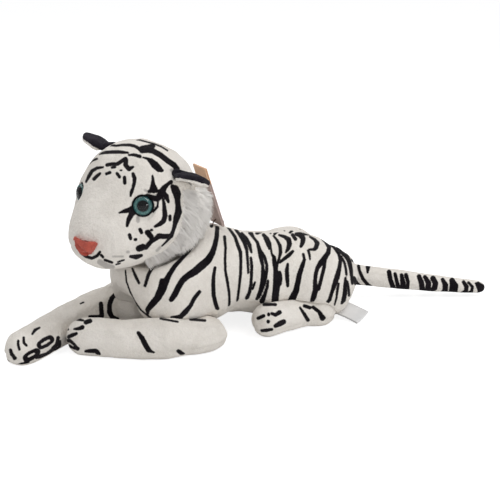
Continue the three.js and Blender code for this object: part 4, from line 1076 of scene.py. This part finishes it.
def makeHead(facts):
    made = plushSkin("head", facts["nodes"], facts)
    local = inHead(coordsOf(made))
    aboveJaw = local[:, 2] > facts["jawSeamAt"]
    crown = np.where(aboveJaw, np.abs(np.abs(local[:, 1]) - facts["crownSeamAt"]), farSeam)
    pressSeam(made, crown, *facts["crownSeam"])
    jaw = np.where(local[:, 0] < facts["jawSeamEnd"], np.abs(local[:, 2] - facts["jawSeamAt"]), farSeam)
    pressSeam(made, jaw, *facts["jawSeam"])
    printHead(made, headPrint)
    for side in ("left", "right"):
        pressSocket(made, side, eyeFacts)
    finishSkin(made, facts, tigerPlush)
    return made


head = makeHead(headSkin)

# neck

neckSkin = {"nodes": ["neck_stuffing"], "body": "neck", "pitch": 2.4, "smoothing": 6, "swell": 0.2}
neck = plushSkin("neck", neckSkin["nodes"], neckSkin)
printThrough(neck, [], fadeBelow=False)
finishSkin(neck, neckSkin, tigerPlush)

# the eyes' own pieces


def turnedPiece(name, profile, turn, place):
    # a profile of (radius, height) pairs in millimetres, spun about its height axis
    bm = bmesh.new()
    line = [bm.verts.new((radius, 0, height)) for radius, height in profile]
    edges = [bm.edges.new(pair) for pair in zip(line, line[1:])]
    bmesh.ops.spin(
        bm, geom=line + edges, cent=(0, 0, 0), axis=(0, 0, 1), dvec=(0, 0, 0),
        angle=math.tau, steps=spinSteps, use_merge=True, use_duplicate=False,
    )
    bmesh.ops.remove_doubles(bm, verts=bm.verts, dist=0.0005)
    bmesh.ops.recalc_face_normals(bm, faces=bm.faces)
    ring = bm.verts.layers.float.new("ring")
    for vert in bm.verts:
        vert[ring] = math.hypot(vert.co.x, vert.co.y)
    standing = Matrix.Translation(place) @ turn.to_4x4() @ Matrix.Scale(millimetre, 4)
    bmesh.ops.transform(bm, matrix=standing, verts=bm.verts)
    return fromBmesh(name, bm)


def irisMaterial(facts):
    made, tree, shader = material("eye_back")
    ring = attributeOf(tree, "ring")
    streaks = noiseOf(tree, scale=420.0, detail=3.0)
    colour = mixOf(tree, rangeOf(tree, streaks, 0.35, 0.7), facts["iris"], facts["irisPale"])
    colour = mixOf(tree, rangeOf(tree, ring, facts["deepFrom"], facts["rim"]), colour, facts["irisDeep"])
    aroundPupil = rangeOf(tree, ring, *past(facts["pupil"], facts["pupilRing"]))
    share = mathOf(tree, "MULTIPLY", aroundPupil, facts["ringShare"])
    colour = mixOf(tree, share, colour, facts["irisDeep"])
    pupil = rangeOf(tree, ring, *past(facts["pupil"], facts["pupilEdge"]))
    colour = mixOf(tree, pupil, colour, facts["pupilBlack"])
    edge = rangeOf(tree, ring, *past(facts["rim"], facts["rimEdge"]))
    setInputs(tree, shader, {
        "Base Color": mixOf(tree, edge, colour, facts["rimBlack"]),
        "Roughness": rangeOf(tree, streaks, 0.2, 0.8, toLow=0.28, toHigh=0.4),
        "Specular IOR Level": 0.0,
    })
    return made


def lensMaterial():
    made, tree, shader = material("eye_lens")
    wear = noiseOf(tree, scale=160.0, detail=4.0)
    setInputs(tree, shader, {
        "Base Color": (0.96, 0.99, 0.99, 1), "Transmission Weight": 1.0, "IOR": 1.46,
        "Roughness": rangeOf(tree, wear, 0.3, 0.8, toLow=0.01, toHigh=0.05),
    })
    clear = addNode(tree, "BsdfTransparent").outputs[0]
    tree.links.new(shaderMixOf(tree, rayOf(tree, "Shadow"), shader.outputs[0], clear), surfaceOf(tree))
    return made


def plasticMaterial(name, colour):
    made, tree, shader = material(name)
    grain = noiseOf(tree, scale=300.0, detail=3.0)
    shade = tuple(0.85 * value for value in colour[:3]) + (1,)
    setInputs(tree, shader, {
        "Base Color": mixOf(tree, grain, colour, shade),
        "Roughness": rangeOf(tree, grain, 0.2, 0.8, toLow=0.35, toHigh=0.5),
    })
    return made


irisLook = irisMaterial(eyeFacts)
lensLook = lensMaterial()
plasticLook = plasticMaterial("eye_washer", (0.8, 0.8, 0.77, 1))


def domeProfile(radius, height):
    # from the top of the dome to its rim
    angles = [math.pi / 2 * step / domeSteps for step in range(domeSteps, -1, -1)]
    return [(radius * math.cos(angle), height * math.sin(angle)) for angle in angles]


def makeEye(side, facts):
    radius, drop = facts["radius"], facts["rimDrop"]
    foot, turn = discFrame(f"eye_lens_{side}", headMiddle)
    lensProfile = domeProfile(radius, facts["dome"]) + [(radius - facts["rimInset"], -drop), (0, -drop)]
    lens = turnedPiece(f"eye_dome_{side}", lensProfile, turn, foot)
    edge = radius - facts["backInset"]
    flat = [(edge * step / backSteps, facts["backRise"]) for step in range(backSteps + 1)]
    thick, shank = facts["backThickness"], facts["shankRadius"]
    stem = [(edge, -thick), (shank, -thick), (shank, -facts["shank"]), (0, -facts["shank"])]
    back = turnedPiece(f"eye_iris_{side}", flat + stem, turn, foot)
    for piece, node, look in ((lens, "eye_lens", lensLook), (back, "eye_back", irisLook)):
        dress(piece, look)
        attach(piece, "head")
        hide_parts(f"{node}_{side}")
    dress(nodes[f"eye_washer_{side}"], plasticLook)


for side in ("left", "right"):
    makeEye(side, eyeFacts)
print("eyes made")

# long pile: strands that stand on a skin

strandFacts = {
    "root": 0.5, "tip": 0.06, "sides": 3, "cuts": 2, "bend": 0.28,
    "width": 1.5, "lengths": (0.65, 1.1), "widths": (0.8, 1.2), "spread": 0.24,
    "back": 0.9, "down": (0, 0, -0.9), "combed": 0.9, "hang": (0, 0, -0.3), "looseBend": 0.5,
    "sunk": 0.4, "shadeLean": 0.3,
}


def strandMesh(facts):
    # one strand a millimetre long and wide, closed and slightly bent, to be stretched and placed
    bm = bmesh.new()
    bmesh.ops.create_cone(
        bm, cap_ends=True, segments=facts["sides"], radius1=facts["root"], radius2=facts["tip"], depth=1,
    )
    bmesh.ops.translate(bm, vec=(0, 0, 0.5), verts=bm.verts)
    sides = [edge for edge in bm.edges if abs(edge.verts[0].co.z - edge.verts[1].co.z) > 0.5]
    bmesh.ops.subdivide_edges(bm, edges=sides, cuts=facts["cuts"])
    for vert in bm.verts:
        vert.co.x += facts["bend"] * vert.co.z ** 2
    bmesh.ops.triangulate(bm, faces=bm.faces)
    mesh = bpy.data.meshes.new("strand")
    bm.to_mesh(mesh)
    bm.free()
    return mesh


strand = strandMesh(strandFacts)


def growStrands(name, base, pile, facts, seed, keep=None):
    # strands rooted on the kept faces of a skin, or on all of them, combed back and down
    luck = np.random.RandomState(seed)
    faces = [face for face in base.data.polygons if keep is None or face.index in keep]
    areas = np.array([face.area for face in faces])
    chosen = luck.choice(len(faces), size=pile["count"], p=areas / areas.sum())
    bm = bmesh.new()
    size = len(strand.vertices)
    shading = []
    for pick in chosen:
        face = faces[pick]
        corners = [base.data.vertices[index].co for index in face.vertices]
        shares = luck.dirichlet([1.0] * len(corners))
        root = sum((corner * share for corner, share in zip(corners, shares)), Vector())
        loose = Vector(luck.normal(0, facts["spread"], 3))
        out = (face.normal + combed + loose).normalized()
        bend = (combed + loose * facts["looseBend"] + Vector(facts["hang"])).normalized()
        across = out.cross(bend).normalized()
        bend = across.cross(out)
        long = pile["length"] * luck.uniform(*facts["lengths"]) * millimetre
        wide = facts["width"] * luck.uniform(*facts["widths"]) * millimetre
        turn = Matrix((bend * long, across * wide, out * long)).transposed()
        start = len(bm.verts)
        bm.from_mesh(strand)
        bm.verts.ensure_lookup_table()
        for vert in bm.verts[start:start + size]:
            thin = Vector((vert.co.x * wide / long, vert.co.y, vert.co.z))
            thin.x += facts["bend"] * vert.co.z ** 2 * (1 - wide / long)
            vert.co = turn @ thin + root - out * facts["sunk"] * millimetre
        shading += [face.normal + out * facts["shadeLean"] + loose * facts["shadeLean"]] * size
    made = fromBmesh(name, bm)
    # hairs this fine take the light as the coat that they stand in does
    made.data.normals_split_custom_set_from_vertices([normal.normalized() for normal in shading])
    return made


# white long pile, with a lit copy and a painted-shade copy of its white
longPile = plushMaterial("long_pile", {
    "white": (0.99, 0.955, 0.91, 1), "shadedWhite": (0.98, 0.94, 0.885, 1), "bump": 0.15,
}, fineness=480.0, printed=False)
headBack = Vector(fromHead([[1, 0, 0]])[0] - headMiddle).normalized()
combed = (headBack * strandFacts["back"] + Vector(strandFacts["down"])) * strandFacts["combed"]
ruffFacts = {"pitch": 1.8, "smoothing": 12, "swell": 0.6}
ruffPile = {"count": 3000, "length": 11.0, "seeds": {"left": 40, "right": 41}}
cheekPile = {"count": 3400, "length": 12.5, "seeds": {"left": 50, "right": 51}}


def makeRuff(side, facts, strands):
    node = f"ruff_{side}"
    made = plushSkin(f"{node}_band", [node], facts)
    pile = growStrands(f"ruff_pile_{side}", made, strands, strandFacts, strands["seeds"][side])
    for piece in (made, pile):
        dress(piece, longPile)
        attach(piece, "head")
    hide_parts(node)


cheekPatch = [
    (182, 190), (193, 189), (200, 200), (203, 215), (198, 232), (186, 248), (172, 262), (158, 271),
    (138, 273), (146, 259), (162, 252), (175, 240), (181, 225), (183, 205),
]


def makeCheekPile(side, strands):
    # the long pile carries on over the cheek's edge and under the jaw
    sign = -1 if side == "left" else 1
    near = {}
    for face in head.data.polygons:
        local = inHead(np.array(face.center))
        if local[1] * sign > 0:
            near[face.index] = local * [1, -sign, 1]
    inside = outlineDistance(toPixels(fromHead(np.array(list(near.values())))), cheekPatch) > 0
    kept = {index for index, good in zip(near, inside) if good}
    pile = growStrands(f"cheek_pile_{side}", head, strands, strandFacts, strands["seeds"][side], kept)
    dress(pile, longPile)
    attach(pile, "head")


for side in ("left", "right"):
    makeRuff(side, ruffFacts, ruffPile)
    makeCheekPile(side, cheekPile)
print("ruffs made")

# ears: a white front leaf and a black back leaf

earWhite = plushMaterial("ear_white_plush", plushLook, printed=False)
# black plush, with a lit copy under the key white and a painted-shade copy under shadedWhite
earBlack = plushMaterial("ear_black_plush", {
    "white": (0.030, 0.026, 0.034, 1), "shadedWhite": (0.008, 0.007, 0.011, 1), "bump": 0.9,
}, printed=False)
earFacts = {"pitch": 0.9, "smoothing": 20, "lumps": [(9, 0.5, 61)], "headGap": 0.45}
earSwell = {"front": 0.6, "back": 1.6}


def makeEar(side, facts):
    for part, look in (("front", earWhite), ("back", earBlack)):
        node = f"ear_{part}_{side}"
        made = plushSkin(f"{node}_leaf", [node], {**facts, "swell": earSwell[part]})
        dress(made, look)
        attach(made, f"ear_{side}")
        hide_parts(node)
        leaveRoom(head, made, joints[f"ear_{side}_flex"], facts["headGap"])


for side in ("left", "right"):
    makeEar(side, earFacts)
print("ears made")

# nose: brushed velour over a small pad

noseFacts = {
    "pitch": 0.9, "smoothing": 7, "swell": 0.5, "sink": 3.6, "sinksOver": (0.7, -1.2),
    "fineness": 900.0, "brushing": 160.0, "bump": 0.7, "bumpDepth": 0.0006,
    "coral": (0.53, 0.098, 0.062, 1), "shadedCoral": (0.36, 0.055, 0.036, 1),
}
noseOutline = [
    (74.5, 235), (80.6, 239.6), (86.7, 241.8), (91.5, 241.2), (95.5, 240.6), (99.4, 242.4), (101.3, 247),
    (99.9, 251.2), (96, 253.5), (93, 256.9), (86.7, 252), (80.6, 247.2), (76, 242.5), (72.6, 238.5),
]


def velourMaterial(facts):
    made, tree, shader = material("nose_plush")
    pile = placed(tree, pileGroup, Fineness=facts["fineness"], Brushing=facts["brushing"])
    # painted shade: the coral's shaded copy, mixed in by the pile's painted shade
    setInputs(tree, shader, {
        "Base Color": mixOf(tree, pileShade(tree, pile), facts["shadedCoral"], facts["coral"]),
        "Normal": bumpOf(tree, pile.outputs["Height"], facts["bump"], facts["bumpDepth"]),
        "Roughness": 0.85, "Sheen Weight": 0.12, "Sheen Roughness": 0.5,
    })
    return made


def makeNose(facts):
    made = plushSkin("nose_velour", ["nose"], facts)
    kept = outlineDistance(toPixels(coordsOf(made)), noseOutline)
    pushOut(made, -facts["sink"] * smoothShare(kept, *facts["sinksOver"]))
    dress(made, velourMaterial(facts))
    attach(made, "head")
    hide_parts("nose")


makeNose(noseFacts)
print("nose made")

# hang tag and its tie keep their solids and take a finish

tagLook = {
    "foldHeight": 0.1515, "foldSoftness": 0.0006,
    "fold": (0.82, 0.50, 0.29, 1), "card": (0.60, 0.46, 0.42, 1), "cardShade": (0.50, 0.36, 0.33, 1),
    "fibre": (0.9, 0.82, 0.75, 1), "fibreShare": 0.18,
    "cord": (0.13, 0.062, 0.042, 1), "cordShade": (0.055, 0.025, 0.018, 1),
}


def cardMaterial(look):
    made, tree, shader = material("tag_card")
    height = addNode(tree, "SeparateXYZ", {0: placeOf(tree)}).outputs["Z"]
    fibres = noiseOf(tree, scale=700.0, detail=4.0)
    cloud = noiseOf(tree, scale=60.0, detail=2.0)
    card = mixOf(tree, rangeOf(tree, cloud, 0.35, 0.65), look["cardShade"], look["card"])
    low, high = look["foldHeight"] - look["foldSoftness"], look["foldHeight"] + look["foldSoftness"]
    colour = mixOf(tree, rangeOf(tree, height, low, high), card, look["fold"])
    fibreShare = mathOf(tree, "MULTIPLY", fibres, look["fibreShare"])
    setInputs(tree, shader, {
        "Base Color": mixOf(tree, fibreShare, colour, look["fibre"]),
        "Normal": bumpOf(tree, fibres, strength=0.25, distance=0.0002),
        "Roughness": rangeOf(tree, fibres, 0.3, 0.7, toLow=0.5, toHigh=0.62),
    })
    return made


def cordMaterial(look):
    made, tree, shader = material("tie_cord")
    waves = {"Vector": placeOf(tree), "Scale": 420.0, "Distortion": 2.0}
    twist = addNode(tree, "TexWave", waves).outputs["Fac"]
    # painted shade: the cord is darker in the grooves of its twist
    setInputs(tree, shader, {
        "Base Color": mixOf(tree, twist, look["cordShade"], look["cord"]),
        "Normal": bumpOf(tree, twist, strength=0.6, distance=0.0003), "Roughness": 0.8,
    })
    return made


for node, look in (("hang_tag", cardMaterial(tagLook)), ("tag_loop", cordMaterial(tagLook))):
    dress(nodes[node], look)
print("tag dressed")

# care label: a satin ribbon folded in half, with its root in the haunch seam

labelFacts = {
    "width": 21.0, "length": 33.0, "gap": 1.5, "thickness": 0.3, "rows": 64, "columns": 18,
    "root": (86.4, -53.2, 10.6), "turns": [(-67, "Z"), (12, "Y"), (20, "X")],
    "lift": 0.9, "cup": 0.5, "wave": 0.35, "waveAlong": 5, "waveAcross": 0.22,
    "warp": 22.0, "weft": 14.0, "weftShare": 0.6, "hem": (9.4, 10.1), "hemShare": 0.5,
    "satin": (0.80, 0.79, 0.78, 1), "stained": (0.74, 0.73, 0.72, 1), "hemShade": (0.6, 0.59, 0.58, 1),
}


def labelStand(facts):
    # from the ribbon's own millimetres to its place on the haunch
    matrix = Matrix.Identity(3)
    for angle, axis in facts["turns"]:
        matrix = matrix @ Matrix.Rotation(math.radians(angle), 3, axis)
    root = Matrix.Translation(Vector(facts["root"]) * millimetre)
    return root @ matrix.to_4x4() @ Matrix.Scale(millimetre, 4)


def foldedStrip(facts):
    # a strip along X that folds back under itself; `run` is the length along it in millimetres
    bm = bmesh.new()
    bmesh.ops.create_grid(bm, x_segments=facts["rows"], y_segments=facts["columns"], size=0.5)
    run = bm.verts.layers.float.new("run")
    side = bm.verts.layers.float.new("side")
    half = facts["gap"] / 2
    straight = facts["length"] - half
    full = 2 * straight + math.pi * half
    for vert in bm.verts:
        vert[run] = (vert.co.x + 0.5) * full
        vert[side] = vert.co.y * facts["width"]
        x, z = vert[run], half
        if x > straight:
            angle = (x - straight) / half
            x, z = straight + half * math.sin(min(angle, math.pi)), half * math.cos(min(angle, math.pi))
            if angle > math.pi:
                x -= vert[run] - straight - math.pi * half
        vert.co = (x, vert.co.y * facts["width"], z)
    bmesh.ops.recalc_face_normals(bm, faces=bm.faces)
    return bm, full


def satinMaterial(facts):
    made, tree, shader = material("satin_ribbon")
    run, side = attributeOf(tree, "run"), attributeOf(tree, "side")
    warp = mathOf(tree, "SINE", mathOf(tree, "MULTIPLY", side, facts["warp"]))
    weft = mathOf(tree, "SINE", mathOf(tree, "MULTIPLY", run, facts["weft"]))
    weave = mathOf(tree, "ADD", warp, mathOf(tree, "MULTIPLY", weft, facts["weftShare"]))
    stain = rangeOf(tree, noiseOf(tree, scale=90.0, detail=3.0), 0.3, 0.7)
    colour = mixOf(tree, stain, facts["satin"], facts["stained"])
    hem = rangeOf(tree, mathOf(tree, "ABSOLUTE", side), *facts["hem"])
    colour = mixOf(tree, mathOf(tree, "MULTIPLY", hem, facts["hemShare"]), colour, facts["hemShade"])
    setInputs(tree, shader, {
        "Base Color": colour, "Normal": bumpOf(tree, weave, strength=0.25, distance=0.0001),
        "Roughness": 0.42, "Sheen Weight": 0.1,
    })
    return made


def makeLabel(facts):
    bm, full = foldedStrip(facts)
    for vert in bm.verts:
        # a soft ribbon is a little cupped, and its two ends lie apart
        share = vert.co.x / facts["length"]
        cup = facts["cup"] * (vert.co.y / (facts["width"] / 2)) ** 2 * share
        vert.co.z += facts["lift"] * math.sin(share * math.pi) + cup
        wave = share * facts["waveAlong"] + vert.co.y * facts["waveAcross"]
        vert.co.z += facts["wave"] * math.sin(wave) * share
    bmesh.ops.transform(bm, matrix=labelStand(facts), verts=bm.verts)
    made = fromBmesh("care_label_ribbon", bm)
    withModifier(made, "SOLIDIFY", thickness=facts["thickness"] * millimetre, offset=0.0)
    dress(made, satinMaterial(facts))
    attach(made, "care_label")
    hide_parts("care_label")


makeLabel(labelFacts)
print("label made")
